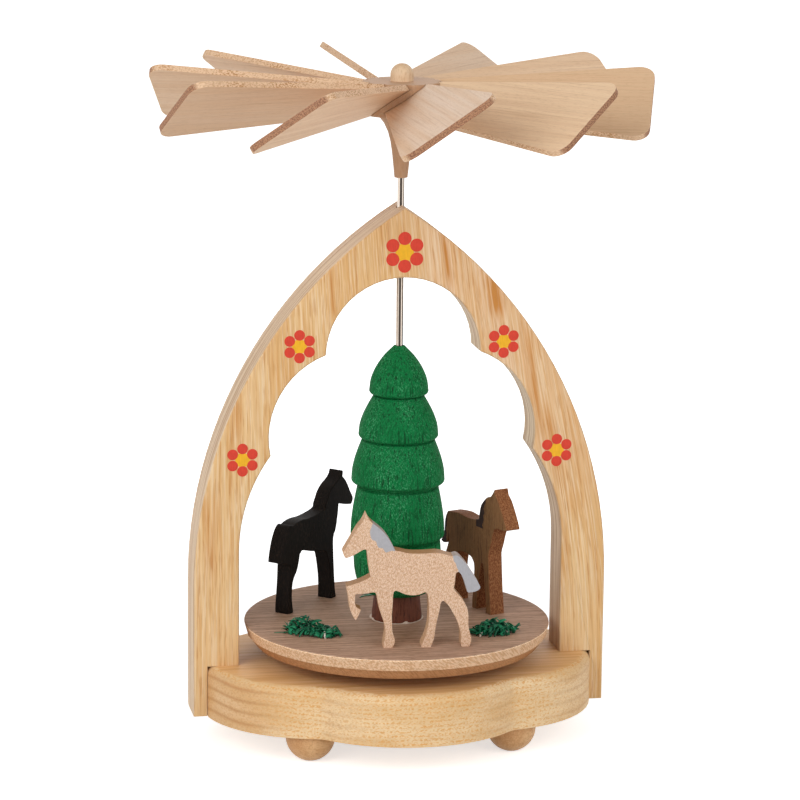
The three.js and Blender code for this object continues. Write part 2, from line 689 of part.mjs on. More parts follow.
// A turned head on a slim flared stem, with a slanted saw slot for each blade.
function rotorHub() {
  const stemWidth = hubFlareRadius - hubStemFootRadius;
  const stem = Array.from({ length: stemSteps }, (unused, i) => {
    const up = i / stemSteps;
    const widening = stemTaperShare * up + (1 - stemTaperShare) * up ** stemFlarePower;
    return [hubStemFootRadius + stemWidth * widening, hubFoot + hubStemLength * up];
  });
  const edge = hubHeadRadius - hubHeadRound;
  const profile = [
    [0, hubFoot],
    ...stem,
    [hubFlareRadius, hubHeadFoot],
    ...arcPoints(edge, hubHeadFoot + hubHeadRound, hubHeadRound, -Math.PI / 2, 0, 2),
    ...arcPoints(edge, hubHeadTop - hubHeadRound, hubHeadRound, 0, Math.PI / 2, 2),
    [0, hubHeadTop],
  ];
  const slotWidth = bladeThickness + glueGap * 2;
  const slotStart = hubHeadRadius - bladeSlotDepth;
  const slotLength = bladeSlotDepth + cutOverrun;
  const slots = Array.from({ length: bladeCount }, (unused, i) => {
    const middle = slotStart + slotLength / 2;
    const slot = block(slotLength, hubHeadHeight * sawSlotShare, slotWidth, middle, 0, 0);
    return pitched(slot).rotateZ(bladeAngle(i));
  });
  return cut(
    turned(profile, roundSides),
    rod(gluedBoreRadius, hubFoot - cutOverrun, shaftTop + glueGap),
    rod(finialPegRadius + glueGap, hubHeadTop - finialPegLength - glueGap, hubHeadTop + cutOverrun),
    ...slots,
  );
}

function finial() {
  const domeFoot = hubHeadTop + finialHeight - finialRadius;
  return turned(
    [
      [0, hubHeadTop - finialPegLength],
      [finialPegRadius, hubHeadTop - finialPegLength],
      [finialPegRadius, hubHeadTop],
      [finialRadius, hubHeadTop],
      ...arcPoints(0, domeFoot, finialRadius, 0, Math.PI / 2, 6).slice(0, -1),
      [0, hubHeadTop + finialHeight],
    ],
    slimSides,
  );
}

function stand() {
  const group = new THREE.Group();
  group.add(named("base_plate", basePlate(), ash));
  group.add(named("arch_frame", archFrame(), ash));
  group.add(named("bearing_cup", bearingCup(), brass));
  for (const { name, x, y } of footPlaces()) {
    const mesh = named(name, foot(), beech);
    mesh.position.set(x, y, 0);
    group.add(mesh);
  }
  return group;
}

function rotor() {
  const group = new THREE.Group();
  group.add(named("rotor_hub", rotorHub(), beech));
  group.add(named("finial", finial(), ash));
  for (let i = 0; i < bladeCount; i++) {
    const mesh = named(`blade_${String(i + 1).padStart(2, "0")}`, blade(), beech);
    mesh.rotation.z = bladeAngle(i);
    group.add(mesh);
  }
  return group;
}

// The feet that the places above speak of, as shares of each horse's length.
const lightFootShare = 0.7;
const blackFootShare = 0.11;
const brownFootShare = 0.788;

function horses() {
  const light = horse(lightHorseShares, lightHorseLength, lightHorseHeight);
  const black = horse(blackHorseShares, blackHorseLength, blackHorseHeight);
  const brown = horse(brownHorseShares, brownHorseLength, brownHorseHeight);
  return [
    standHorse(
      named("horse_light", light, lightWood),
      lightHorsePlaceShares,
      lightHorseHeading,
      lightHorseLength * lightFootShare,
    ),
    standHorse(
      named("horse_black", black, blackStain),
      blackHorsePlaceShares,
      blackHorseHeading,
      blackHorseLength * blackFootShare,
    ),
    standHorse(
      named("horse_brown", brown, horseBrown),
      brownHorsePlaceShares,
      brownHorseHeading,
      brownHorseLength * brownFootShare,
    ),
  ];
}

function mossTufts() {
  const left = named("moss_left", mossTuft(leftMossLength, leftMossWidth), shavings);
  const right = named("moss_right", mossTuft(rightMossLength, rightMossWidth), shavings);
  return [
    placeMoss(left, leftMossPlaceShares, leftMossTurn),
    placeMoss(right, rightMossPlaceShares, rightMossTurn),
  ];
}

function carousel() {
  const group = new THREE.Group();
  group.add(named("shaft", shaft(), steel));
  group.add(named("turntable", turntable(), turntableWood));
  group.add(named("tree_trunk", treeTrunk(), brownStain));
  group.add(named("tree", tree(), greenStain));
  group.add(...horses(), ...mossTufts(), rotor());
  return group;
}

const candleCarousel = new THREE.Group();
candleCarousel.add(stand(), carousel());

export default candleCarousel;
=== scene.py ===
import math
import random

import bpy
import numpy as np
from mathutils import Matrix, Vector


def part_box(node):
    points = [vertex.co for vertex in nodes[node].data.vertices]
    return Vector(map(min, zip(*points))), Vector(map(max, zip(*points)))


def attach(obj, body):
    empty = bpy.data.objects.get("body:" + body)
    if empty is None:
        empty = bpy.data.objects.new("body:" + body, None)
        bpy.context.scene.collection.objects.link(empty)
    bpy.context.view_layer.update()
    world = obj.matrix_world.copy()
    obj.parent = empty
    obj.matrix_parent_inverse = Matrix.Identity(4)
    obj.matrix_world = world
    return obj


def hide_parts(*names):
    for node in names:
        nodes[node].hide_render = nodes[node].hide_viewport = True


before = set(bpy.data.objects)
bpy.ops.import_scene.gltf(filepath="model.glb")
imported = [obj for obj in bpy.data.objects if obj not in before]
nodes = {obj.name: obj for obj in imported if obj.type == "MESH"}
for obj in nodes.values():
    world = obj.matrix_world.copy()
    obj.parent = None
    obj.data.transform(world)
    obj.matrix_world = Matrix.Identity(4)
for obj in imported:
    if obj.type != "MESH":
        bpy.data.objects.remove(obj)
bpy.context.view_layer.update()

MM = 0.001

# The camera, as seen from the spin axis: degrees, millimetres and pixels of the 800 by 800 frame
CAMERA_AZIMUTH = -10.94
CAMERA_ELEVATION = 11.79
CAMERA_ROLL = 0.585
CAMERA_DISTANCE = 1060.9
CAMERA_TARGET = (0.392, 0, 104.445)
FOCAL_PIXELS = 3481.7
FRAME_PIXELS = 800
SENSOR_WIDTH = 36

# The nearest and the farthest that it sees, in metres
CAMERA_RANGE = (0.01, 50)

# The soft boxes round the object: degrees, a level at which 1 renders white, and metres
LAMPS = [
    {"name": "key_left", "azimuth": -50, "elevation": 26, "level": 0.5, "size": 0.8},
    {"name": "key_right", "azimuth": 36, "elevation": 26, "level": 0.33, "size": 0.8},
    {"name": "fill_back", "azimuth": 165, "elevation": 20, "level": 0.25, "size": 1.0},
]
LAMP_DISTANCE = 1.1
LAMP_AIM_HEIGHT = 0.1
WORLD_LEVEL = 0.32
WHITE = (1, 1, 1, 1)

# The floor, in metres: its reach, how far it lies under the feet, and where the shade on it fades to white
FLOOR_REACH = 6.0
FLOOR_DROP = 0.00002
FLOOR_FADE = (0.12, 0.4)
# Its colour, and how bright it is to the camera by itself near the object
FLOOR_COLOUR = (0.9, 0.9, 0.9, 1)
FLOOR_NEAR_LEVEL = 0.62

# Paint dots of the flowers on the arch, in millimetres: from the middle to a petal, and the two radii
FLOWER_SIZES = {
    "large": {"reach": 4.2, "petal": 2.02, "centre": 2.8},
    "small": {"reach": 3.45, "petal": 1.64, "centre": 2.25},
}
FLOWERS = [
    {"x": 0, "z": 151.2, "size": "large"},
    {"x": -31.85, "z": 123.2, "size": "small"},
    {"x": 30.85, "z": 123.2, "size": "small"},
    {"x": -49.1, "z": 88.9, "size": "small"},
    {"x": 48.0, "z": 88.9, "size": "small"},
]
PETALS = 6
PETAL_THICKNESS = 0.09
CENTRE_THICKNESS = 0.6 * PETAL_THICKNESS
DOT_SIDES = 40

# The section of a dot from its foot inwards, as shares of its radius and thickness, and its crown
DOT_SHARES = [(1.0, -0.03), (1.0, 0.35), (0.97, 0.75), (0.9, 0.95), (0.5, 1.05)]
DOT_CROWN_SHARE = 1.08

# The grain of the arch leans out to the right: its slant at the middle, what that gains by the millimetre
# to the right, and the height from which it leans
ARCH_LEAN = 0.11
ARCH_LEAN_RISE = 0.0019
ARCH_LEAN_HEIGHT = 100
# Below about this height it runs upright
ARCH_UPRIGHT_HEIGHT = 55

# Darker streaks on the front of the arch, in millimetres: the middle, half the width and half the height
ARCH_STREAKS = [
    {"x": -51.5, "z": 101, "wide": 3.0, "high": 13, "strength": 0.9},
    {"x": -22.0, "z": 140, "wide": 2.6, "high": 13, "strength": 0.8},
    {"x": -34.0, "z": 116, "wide": 2.0, "high": 8, "strength": 0.6},
    {"x": -7.0, "z": 158, "wide": 2.0, "high": 8, "strength": 0.6},
    {"x": 12.8, "z": 149, "wide": 1.7, "high": 12, "strength": 1.2},
    {"x": 28.0, "z": 138, "wide": 4.0, "high": 10, "strength": 1.4},
    {"x": 40.0, "z": 110, "wide": 2.4, "high": 26, "strength": 1.0},
    {"x": 46.5, "z": 92, "wide": 1.8, "high": 16, "strength": 0.7},
    {"x": -59.0, "z": 66, "wide": 2.8, "high": 17, "strength": 0.7},
    {"x": 52.0, "z": 60, "wide": 2.2, "high": 18, "strength": 0.5},
]
# A streak is at its full strength over this share of its height
STREAK_CORE_SHARE = 0.3

# The layers that show on the edge of the base, in millimetres: the wide ones, and the rows of dashes
BASE_LAYER = 3.5
BASE_ROW = 1.38

# Drying cracks in the tree: where the lips of its tiers are as shares of its height, and how many each has
TREE_LIP_SHARES = (0.24, 0.455, 0.635, 0.81)
CRACKS_PER_LIP = 26
# In millimetres: how far above its lip a crack starts, its length, its depth and half its width
CRACK_START = (0, 6)
CRACK_LENGTH = (2, 7)
CRACK_DEPTH = (0.15, 0.4)
CRACK_WIDTH = 0.16
# In radians: how far it leans as it rises, and how far it wanders
CRACK_LEAN = 0.05
CRACK_WANDER = 0.012
# What lies within this radius is the bore of the tree, which has no cracks
TREE_BORE_REACH = 4

# The shavings, in millimetres and radians: what their sizes and turns are drawn from
SHAVING_THICKNESS = 0.11
SHAVING_LENGTH = (1.8, 4.4)
SHAVING_WIDTH = (0.5, 1.25)
SHAVING_TILT = (-0.9, 0.9)
SHAVING_BEND = (0.4, 2.4)
SHAVING_STEPS = 6
SHAVING_TAPER = 0.55
STRAY_LENGTH = 5.0
STRAY_WIDTH = 0.4
STRAY_BEND = 0.2

# Loose shavings behind the trunk, and one at the left end of the left tuft: X, Y and a turn in degrees
BACK_STRAYS = [(-4.2, 27.2, 20), (-3.2, 28.0, 160), (-2.4, 28.8, 95), (-5.2, 26.6, 40), (-3.4, 27.0, 10)]
LEFT_STRAY = (-37.6, -11.6, 178)

# The tufts: a turn in degrees, the length, width and height in millimetres, and the lean of the peak
LEFT_TUFT = {"count": 190, "seed": 11, "turn": -32, "size": (18.5, 9.0, 4.4), "lean": 0.45,
             "strays": [LEFT_STRAY] + BACK_STRAYS}
RIGHT_TUFT = {"count": 160, "seed": 12, "turn": 8, "size": (14.0, 8.5, 4.0), "lean": 0.0, "strays": []}

# What lies on the turntable is this far clear of it, in millimetres
TABLE_CLEARANCE = 0.02

# The glue round the foot of the trunk, in millimetres: how far it stands out, how high and how deep
GLUE_REACH = 0.06
GLUE_RISE = 0.3
GLUE_DEPTH = 0.6
# A bead is this much higher than it is wide
BEAD_RISE = 1.7
# Its beads: where each is and how wide, in degrees, and its size in millimetres
GLUE_BEADS = [(169, 9, 0.5), (176, 5, 0.3), (190, 6, 0.3), (-11, 9, 0.5), (281, 7, 0.4)]
GLUE_SIDES = 180
GLUE_ROWS = 6

# The blades: their pitch in degrees and the tone of each
BLADE_COUNT = 10
BLADE_PITCH = 34
BLADE_TONES = ("e4bf98", "f2d0ad", "ebccae", "f3cfa8", "f2d1b3",
               "efd0b2", "e6c3a3", "f5d4b4", "f0d4bb", "f4d2ac")

# Which way each horse looks, in degrees about Z
HORSE_HEADINGS = {"horse_light": 175, "horse_black": 46, "horse_brown": -70}

# Places on a horse are in millimetres, ahead of its rearmost point (x) and above its hooves (z).
# The light horse's mane lies between rear and front, and above an edge drawn as shares of a box. Above the
# poll its front leans back.
MANE = {"rear": 25.4, "front": 33.2, "poll": 36.1, "poll_lean": 0.35}
MANE_BOX = {"x": 25.5, "z": 28.2, "long": 8, "high": 9.0}
MANE_EDGE_SHARES = [(0, 0.21), (0.12, 0.17), (0.4, 0.18), (0.47, 0.26), (0.6, 0.29), (0.68, 0.38),
                    (0.74, 0.51), (0.88, 0.57), (0.94, 0.7), (0.965, 0.85), (1, 1)]
# Its tail lies behind such an edge, and the edge's shares of length follow its shares of height
TAIL_BOX = {"z": 16, "long": 10.0, "high": 13}
TAIL_EDGE_SHARES = [(0, 0.5), (0.23, 0.6), (0.54, 0.66), (0.68, 0.71), (0.76, 0.76), (0.84, 0.81), (1, 0.85)]
# The brown horse's mane and tail end at straight lines: the front at the hooves and what it gains with z
BROWN_MANE = {"rear": 20.6, "low": 26.5, "front": 20.4, "slope": 0.18}
BROWN_TAIL = {"low": 16.5, "front": 4.0, "slope": 0.02}

# Vertices of a CAD node that are nearer than this, in millimetres, are made one
WELD_DISTANCE = 0.002
BEVEL_SEGMENTS = 3

# A stretch of a turned outline this many times as long as the next one stays straight
LONG_STRETCH = 2.5
# An outline is read within this many microns of its plane. Within this many metres a point is on the axis.
PLANE_SLACK = 3
AXIS_SLACK = 1e-7
# A turned piece shades as smooth over edges below this angle in degrees
SMOOTH_ANGLE = 35


def linear(code):
    """The linear colour of a hexadecimal sRGB code, with full alpha."""
    shares = [int(code[i:i + 2], 16) / 255 for i in (0, 2, 4)]
    return tuple(v / 12.92 if v < 0.04045 else ((v + 0.055) / 1.055) ** 2.4 for v in shares) + (1,)


def vertices_of(node):
    return np.array([v.co for v in nodes[node].data.vertices])


class Shader:
    """Builds the nodes of one material or world. Its calls return the socket that holds their result."""

    def __init__(self, name, owners=bpy.data.materials):
        self.owner = owners.new(name)
        self.owner.use_nodes = True
        self.tree = self.owner.node_tree
        self.tree.nodes.clear()

    def node(self, kind, *values, **settings):
        """A node of a kind with its settings, and with values in its first inputs."""
        made = self.tree.nodes.new(kind)
        for key, value in settings.items():
            setattr(made, key, value)
        for socket, value in zip(made.inputs, values):
            self.put(socket, value)
        return made

    def put(self, socket, value):
        """Links an input to a result, or sets it to a number, a vector or a colour code."""
        if isinstance(value, bpy.types.NodeSocket):
            self.tree.links.new(value, socket)
        else:
            socket.default_value = linear(value) if isinstance(value, str) else value

    def math(self, operation, *values):
        return self.node("ShaderNodeMath", *values, operation=operation).outputs[0]

    def times(self, *values):
        product = values[0]
        for value in values[1:]:
            product = self.math("MULTIPLY", product, value)
        return product

    def scaled(self, value, factor, offset=0.0):
        return self.math("MULTIPLY_ADD", value, factor, offset)

    def share(self, value, start, length):
        """Where a value lies between a start and a length on from it, from 0 to 1."""
        return self.scaled(value, 1 / length, -start / length)

    def vector(self, operation, *values):
        made = self.node("ShaderNodeVectorMath", *values, operation=operation)
        return made.outputs["Value" if operation == "LENGTH" else "Vector"]

    def combine(self, *values):
        return self.node("ShaderNodeCombineXYZ", *values).outputs[0]

    def separate(self, vector):
        return self.node("ShaderNodeSeparateXYZ", vector).outputs

    def coordinates(self, kind):
        return self.node("ShaderNodeTexCoord").outputs[kind]

    def local(self, origin=(0, 0, 0), turn=(0, 0, 0)):
        """The place in millimetres in a frame at an origin in metres, turned by degrees about X, Y and Z."""
        made = self.node("ShaderNodeMapping", self.coordinates("Object"), vector_type="TEXTURE")
        made.inputs["Location"].default_value = origin
        made.inputs["Rotation"].default_value = [math.radians(v) for v in turn]
        made.inputs["Scale"].default_value = (MM, MM, MM)
        return made.outputs[0]

    def facing(self, turn=(0, 0, 0)):
        """The surface normal in a frame turned by degrees about X, Y and Z."""
        made = self.node("ShaderNodeMapping", self.coordinates("Normal"), vector_type="TEXTURE")
        made.inputs["Rotation"].default_value = [math.radians(v) for v in turn]
        return made.outputs[0]

    def noise(self, place, rates, detail=2.0, roughness=0.5, seed=0.0):
        """Noise from 0 to 1 with that many features a millimetre along each axis of the place."""
        made = self.node("ShaderNodeTexNoise")
        self.put(made.inputs["Vector"], self.vector("MULTIPLY_ADD", place, rates, (seed, seed, seed)))
        made.inputs["Scale"].default_value = 1
        made.inputs["Detail"].default_value = detail
        made.inputs["Roughness"].default_value = roughness
        return made.outputs["Fac"]

    def step(self, value, low, high, to_low=0.0, to_high=1.0):
        """A soft step that goes from one value to another while the input goes from low to high."""
        return self.node("ShaderNodeMapRange", value, low, high, to_low, to_high,
                         interpolation_type="SMOOTHSTEP").outputs[0]

    def flecks(self, place, rates, low, high, seed=0.0, detail=1.0):
        """Separate flecks or streaks from 0 to 1: noise without what lies below a level."""
        return self.step(self.noise(place, rates, detail=detail, seed=seed), low, high)

    def wave(self, value, spacing):
        """A wave from 0 to 1 that repeats at a spacing in millimetres."""
        return self.scaled(self.math("COSINE", self.scaled(value, 2 * math.pi / spacing)), 0.5, 0.5)

    def curve(self, value, points):
        """A smooth curve through points from 0 to 1, the first two of which the node comes with."""
        made = self.node("ShaderNodeFloatCurve", 1.0, value)
        line = made.mapping.curves[0]
        for i, (x, y) in enumerate(points):
            if i < 2:
                line.points[i].location = (x, y)
            else:
                line.points.new(x, y)
        made.mapping.update()
        return made.outputs[0]

    def mix(self, factor, first, second, blend="MIX"):
        """A colour that goes from the first to the second while the factor goes from 0 to 1."""
        made = self.node("ShaderNodeMix", factor, data_type="RGBA", blend_type=blend)
        self.put(made.inputs[6], first)
        self.put(made.inputs[7], second)
        return made.outputs[2]

    def shade(self, colour, pattern, depth, least):
        """A colour times a brightness, which is its least plus a depth times the pattern."""
        level = self.scaled(pattern, depth, least)
        return self.mix(1.0, colour, self.combine(level, level, level), blend="MULTIPLY")

    def bump(self, height, distance, strength):
        """A normal from a height of 0 to 1 that stands for a distance in millimetres."""
        made = self.node("ShaderNodeBump")
        made.inputs["Strength"].default_value = strength
        made.inputs["Distance"].default_value = distance * MM
        self.put(made.inputs["Height"], height)
        return made.outputs[0]

    def finish(self, colour, roughness, normal, specular=0.3, metallic=0.0):
        """Closes the material and returns it."""
        surface = self.node("ShaderNodeBsdfPrincipled")
        for name, value in {"Base Color": colour, "Roughness": roughness, "Normal": normal,
                            "Specular IOR Level": specular, "Metallic": metallic}.items():
            self.put(surface.inputs[name], value)
        self.node("ShaderNodeOutputMaterial", surface.outputs[0])
        return self.owner


def arch_streaks(s, across, z):
    """The darker streaks on the front of the arch, along its grain."""
    total = 0.0
    for streak in ARCH_STREAKS:
        lean_here = ARCH_LEAN + ARCH_LEAN_RISE * streak["x"]
        home = streak["x"] + lean_here * (max(streak["z"], ARCH_UPRIGHT_HEIGHT) - ARCH_LEAN_HEIGHT)
        aside = s.math("ABSOLUTE", s.math("SUBTRACT", across, home))
        away = s.math("ABSOLUTE", s.math("SUBTRACT", z, streak["z"]))
        narrow = s.step(aside, streak["wide"], 0.0)
        short = s.step(away, streak["high"], STREAK_CORE_SHARE * streak["high"], 0.0, streak["strength"])
        total = s.math("MAXIMUM", total, s.times(narrow, short))
    return total


def arch_ash():
    """Light wood with fine upright orange lines, darker streaks in some places, and paler sawn sides."""
    s = Shader("arch_ash")
    place = s.local()
    x, y, z = s.separate(place)
    front = s.step(s.math("ABSOLUTE", s.separate(s.facing())[1]), 0.6, 0.9)
    lean = s.scaled(x, ARCH_LEAN_RISE, ARCH_LEAN)
    bent = s.math("SMOOTH_MAX", z, ARCH_UPRIGHT_HEIGHT, ARCH_UPRIGHT_HEIGHT)
    across = s.scaled(lean, s.math("SUBTRACT", bent, ARCH_LEAN_HEIGHT), x)
    grain = s.combine(across, y, z)
    bands = s.flecks(grain, (0.1, 0.1, 0.008), 0.35, 0.65, seed=31, detail=2)
    lines = s.flecks(grain, (1.3, 1.3, 0.024), 0.46, 0.58, seed=20, detail=2)
    threads = s.flecks(grain, (2.1, 2.1, 0.06), 0.5, 0.58, seed=35, detail=2)
    glints = s.flecks(grain, (1.9, 1.9, 0.05), 0.52, 0.6, seed=37, detail=2)
    pores = s.flecks(grain, (2.2, 2.2, 0.13), 0.53, 0.63, seed=27)
    fibres = s.noise(grain, (2.8, 2.8, 0.09), detail=3, roughness=0.65, seed=29)
    colour = s.mix(bands, "e9c592", "dfb47c")
    pink = s.times(s.step(x, -10.0, 15.0), s.step(z, 60.0, 95.0), s.scaled(bands, -0.4, 0.8))
    colour = s.mix(pink, colour, "e8c4a2")
    colour = s.mix(s.times(lines, 0.3), colour, "d9a25c")
    colour = s.mix(s.times(glints, 0.42), colour, "f2dcba")
    calm = s.step(z, 12.0, 60.0, 0.45, 1.0)
    colour = s.mix(s.times(threads, calm, s.scaled(lines, 0.28, 0.16)), colour, "cb8b44")
    strings = s.flecks(grain, (1.3, 1.3, 0.045), 0.34, 0.6, seed=33, detail=2)
    streaks = s.times(arch_streaks(s, across, z), s.scaled(strings, 0.8, 0.15))
    colour = s.mix(streaks, colour, "c8863f")
    colour = s.mix(s.times(pores, s.scaled(lines, 0.22, 0.14)), colour, "b87430")
    saw_lines = s.flecks(place, (0.03, 1.2, 0.015), 0.4, 0.66, seed=41, detail=3)
    saw_pores = s.flecks(place, (0.9, 2.6, 0.3), 0.56, 0.7, seed=43)
    side = s.mix(saw_lines, "e8cfb0", "c29a72")
    side = s.mix(s.times(saw_pores, 0.2), side, "b9824a")
    colour = s.mix(front, side, colour)
    height = s.math("SUBTRACT", s.times(fibres, 0.6), pores)
    return s.finish(s.shade(colour, fibres, 0.24, 0.88), 0.55, s.bump(height, 0.05, 0.5))


def base_ash():
    """Light wood that lies flat: rows of dashes in front, soft layers on the lobes, long streaks on top."""
    s = Shader("base_ash")
    place = s.local()
    x, y, z = s.separate(place)
    out_x, _, up = s.separate(s.facing())
    sway = s.noise(s.combine(x, y, 0.0), (0.014, 0.035, 1), detail=1, seed=2)
    layer = s.scaled(sway, 6.0, z)
    top = s.step(up, 0.93, 0.985)
    lobe = s.step(s.math("ABSOLUTE", out_x), 0.3, 0.8)
    dashes = s.flecks(place, (1.4, 1.4, 2.5), 0.46, 0.6, seed=7, detail=2)
    points = s.flecks(place, (1.3, 1.3, 2.0), 0.5, 0.64, seed=9)
    fibres = s.noise(place, (0.12, 1.4, 1.8), detail=3, roughness=0.6, seed=11)
    rows = s.wave(layer, BASE_ROW)
    bands = s.math("POWER", s.wave(layer, BASE_LAYER), 4.0)
    cloud = s.noise(place, (0.03, 0.06, 0.12), detail=2, seed=13)
    front = s.mix(s.step(cloud, 0.35, 0.65), "f1d3a6", "e6c18e")
    front = s.mix(s.times(dashes, s.scaled(rows, 0.55, 0.25), s.scaled(lobe, -0.75, 1.0)), front, "de9c4a")
    front = s.mix(s.times(points, lobe, 0.4), front, "c98a52")
    left = s.step(x, -22.0, -50.0)
    front = s.mix(s.times(lobe, left, 0.4), front, "cf9a63")
    front = s.mix(s.times(bands, s.scaled(lobe, 0.5, 0.06), s.scaled(left, 0.5, 0.5)), front, "bd7f48")
    streaks = s.flecks(place, (0.012, 0.8, 0.3), 0.38, 0.66, seed=17, detail=3)
    lines = s.flecks(place, (0.03, 2.0, 0.5), 0.5, 0.7, seed=19, detail=2)
    face = s.mix(streaks, "efc58f", "e0b073")
    face = s.mix(s.times(lines, 0.35), face, "bf8749")
    face = s.mix(s.times(bands, 0.15), face, "c08648")
    colour = s.mix(top, front, face)
    height = s.math("SUBTRACT", s.times(fibres, 0.6), s.times(dashes, 0.7))
    return s.finish(s.shade(colour, fibres, 0.2, 0.9), 0.55, s.bump(height, 0.04, 0.5))


def fine_wood(name, turn=(0, 0, 0), pale="dab794", warm="c99b6c", fleck="b98a5c", end="b9804f", seed=0.0,
              fleck_share=0.4, line_share=0.3):
    """Fine light wood whose grain runs along the local Z: soft lines along it and small flecks."""
    s = Shader(name)
    grain = s.local(turn=turn)
    normal = s.separate(s.facing(turn))
    lines = s.flecks(grain, (0.7, 0.7, 0.03), 0.42, 0.66, seed=seed, detail=3)
    flecks = s.flecks(grain, (2.2, 2.2, 0.7), 0.5, 0.66, seed=seed + 7)
    fibres = s.noise(grain, (3.2, 3.2, 0.15), detail=3, roughness=0.6, seed=seed + 9)
    colour = s.mix(s.times(lines, line_share), pale, warm)
    colour = s.mix(s.times(flecks, fleck_share), colour, fleck)
    ends = s.step(s.math("ABSOLUTE", normal[2]), 0.6, 0.95)
    speckle = s.flecks(grain, (1.8, 1.8, 1.8), 0.42, 0.62, seed=seed + 15, detail=2)
    colour = s.mix(s.times(ends, s.scaled(speckle, 0.5, 0.3)), colour, end)
    height = s.math("SUBTRACT", s.times(fibres, 0.6), s.times(flecks, 0.5))
    return s, s.shade(colour, fibres, 0.22, 0.89), s.bump(height, 0.04, 0.5)


def hub_wood():
    """Pinkish turned wood with its grain upright."""
    s, colour, normal = fine_wood("hub_wood", pale="c09877", warm="b0825f", end="c79d7a", seed=90)
    return s.finish(colour, 0.6, normal)


def finial_wood():
    """The palest of the turned pieces, with its grain upright."""
    s, colour, normal = fine_wood("finial_wood", pale="e6c8a5", warm="d6aa7d", end="cfa376", seed=7,
                                  fleck_share=0.25)
    return s.finish(colour, 0.5, normal, specular=0.35)


def foot_wood(index):
    """Turned across the grain, which lies level and another way round in each foot."""
    s, colour, normal = fine_wood(f"foot_wood_{index}", (0, 90, 35 * index), pale="e0b685", warm="c7935f",
                                  fleck="b57f4c", end="c89362", seed=80 + 5 * index, line_share=0.5)
    return s.finish(colour, 0.5, normal)


def blade_wood(index, place, turn):
    """A thin board with its grain from root to tip: streaked faces, speckled long edges and a darker tip."""
    s = Shader(f"blade_wood_{index:02d}")
    seed = 7.0 * index
    grain = s.local(place, turn)
    along, _, through = (s.math("ABSOLUTE", part) for part in s.separate(s.facing(turn)))
    streaks = s.flecks(grain, (0.012, 0.5, 0.4), 0.35, 0.68, seed=seed, detail=3)
    lines = s.flecks(grain, (0.03, 1.5, 0.9), 0.52, 0.72, seed=seed + 3, detail=2)
    fibres = s.noise(grain, (0.07, 2.8, 2.8), detail=3, roughness=0.6, seed=seed + 5)
    pores = s.flecks(grain, (0.55, 2.6, 2.6), 0.52, 0.7, seed=seed + 9)
    face = s.mix(s.times(streaks, 0.6), BLADE_TONES[index - 1], "e4bc95")
    face = s.mix(s.times(lines, 0.35), face, "c79a70")
    face = s.mix(s.times(pores, 0.16), face, "b98a5e")
    speckle = s.flecks(grain, (1.6, 3.0, 2.6), 0.42, 0.64, seed=seed + 11, detail=2)
    patch = s.flecks(grain, (0.06, 0.2, 0.2), 0.45, 0.6, seed=seed + 17)
    edge = s.mix(s.times(speckle, s.scaled(patch, 0.45, 0.45)), "ecc9a6", "b8824e")
    tip_speckle = s.flecks(grain, (2.6, 2.2, 2.6), 0.38, 0.62, seed=seed + 13, detail=2)
    tip = s.mix(tip_speckle, "bb8b69", "865b43")
    colour = s.mix(s.step(through, 0.85, 0.6), face, edge)
    colour = s.mix(s.step(along, 0.55, 0.85), colour, tip)
    height = s.math("SUBTRACT", s.times(fibres, 0.6), s.times(pores, 0.4))
    return s.finish(s.shade(colour, fibres, 0.16, 0.92), 0.6, s.bump(height, 0.03, 0.5))


def turntable_wood():
    """Grey-brown on top with fine streaks, light with slanted dashes on the rim, browner on the bevel.

    The top is darker partly as painted shade.
    """
    s = Shader("turntable_wood")
    place = s.local()
    z = s.separate(place)[2]
    up = s.separate(s.facing())[2]
    fibres = s.noise(place, (0.05, 2.2, 2.2), detail=4, roughness=0.65)
    bands = s.noise(place, (0.015, 1.1, 1.1), detail=3, roughness=0.6, seed=4)
    lines = s.flecks(place, (0.09, 2.1, 2.1), 0.5, 0.66, seed=6, detail=2)
    pores = s.flecks(place, (0.4, 2.4, 2.4), 0.55, 0.68, seed=8)
    # The top is darker than the rim partly from its grain and partly as painted shade, for the shade under
    # the tree
    top = s.mix(s.step(bands, 0.3, 0.7), "c8a48c", "a5846e")
    top = s.mix(s.times(lines, 0.4), top, "7a5a45")
    top = s.mix(s.times(pores, 0.35), top, "664934")
    slant = s.times(z, 0.9)
    slanted = s.vector("ADD", place, s.combine(slant, slant, 0.0))
    dashes = s.flecks(slanted, (1.8, 1.8, 0.45), 0.46, 0.56, seed=2, detail=2)
    rim = s.mix(s.times(dashes, 0.55), "ffe2c0", "d69a63")
    under = s.mix(s.times(dashes, 0.4), "bb895f", "90603b")
    colour = s.mix(s.step(up, 0.35, 0.75), rim, top)
    colour = s.mix(s.step(up, -0.15, -0.4), colour, under)
    height = s.math("SUBTRACT", s.times(fibres, 0.6), pores)
    return s.finish(s.shade(colour, fibres, 0.55, 0.77), 0.7, s.bump(height, 0.05, 0.6), specular=0.12)


def stained(name, base, dark, light, origin=(0, 0, 0), turn=(0, 0, 0), depth=0.08, seed=0.0, fuzz_share=0.6,
            fuzz_rates=(2.6, 2.6, 1.0)):
    """Stained wood that still shows its upright fibres and some lighter fuzz."""
    s = Shader(name)
    grain = s.local(origin, turn)
    fibres = s.noise(grain, (1.7, 1.7, 0.13), detail=4, roughness=0.65, seed=seed)
    fuzz = s.flecks(grain, fuzz_rates, 0.48, 0.7, seed=seed + 4, detail=2)
    cloud = s.step(s.noise(grain, (0.12, 0.12, 0.05), seed=seed + 6), 0.35, 0.65, 0.25, 1.0)
    colour = s.mix(s.step(fibres, 0.52, 0.3), base, dark)
    colour = s.mix(s.times(fuzz, cloud, fuzz_share), colour, light)
    height = s.scaled(fibres, 0.7, s.times(fuzz, 0.3))
    return s, colour, s.bump(height, depth, 0.7)


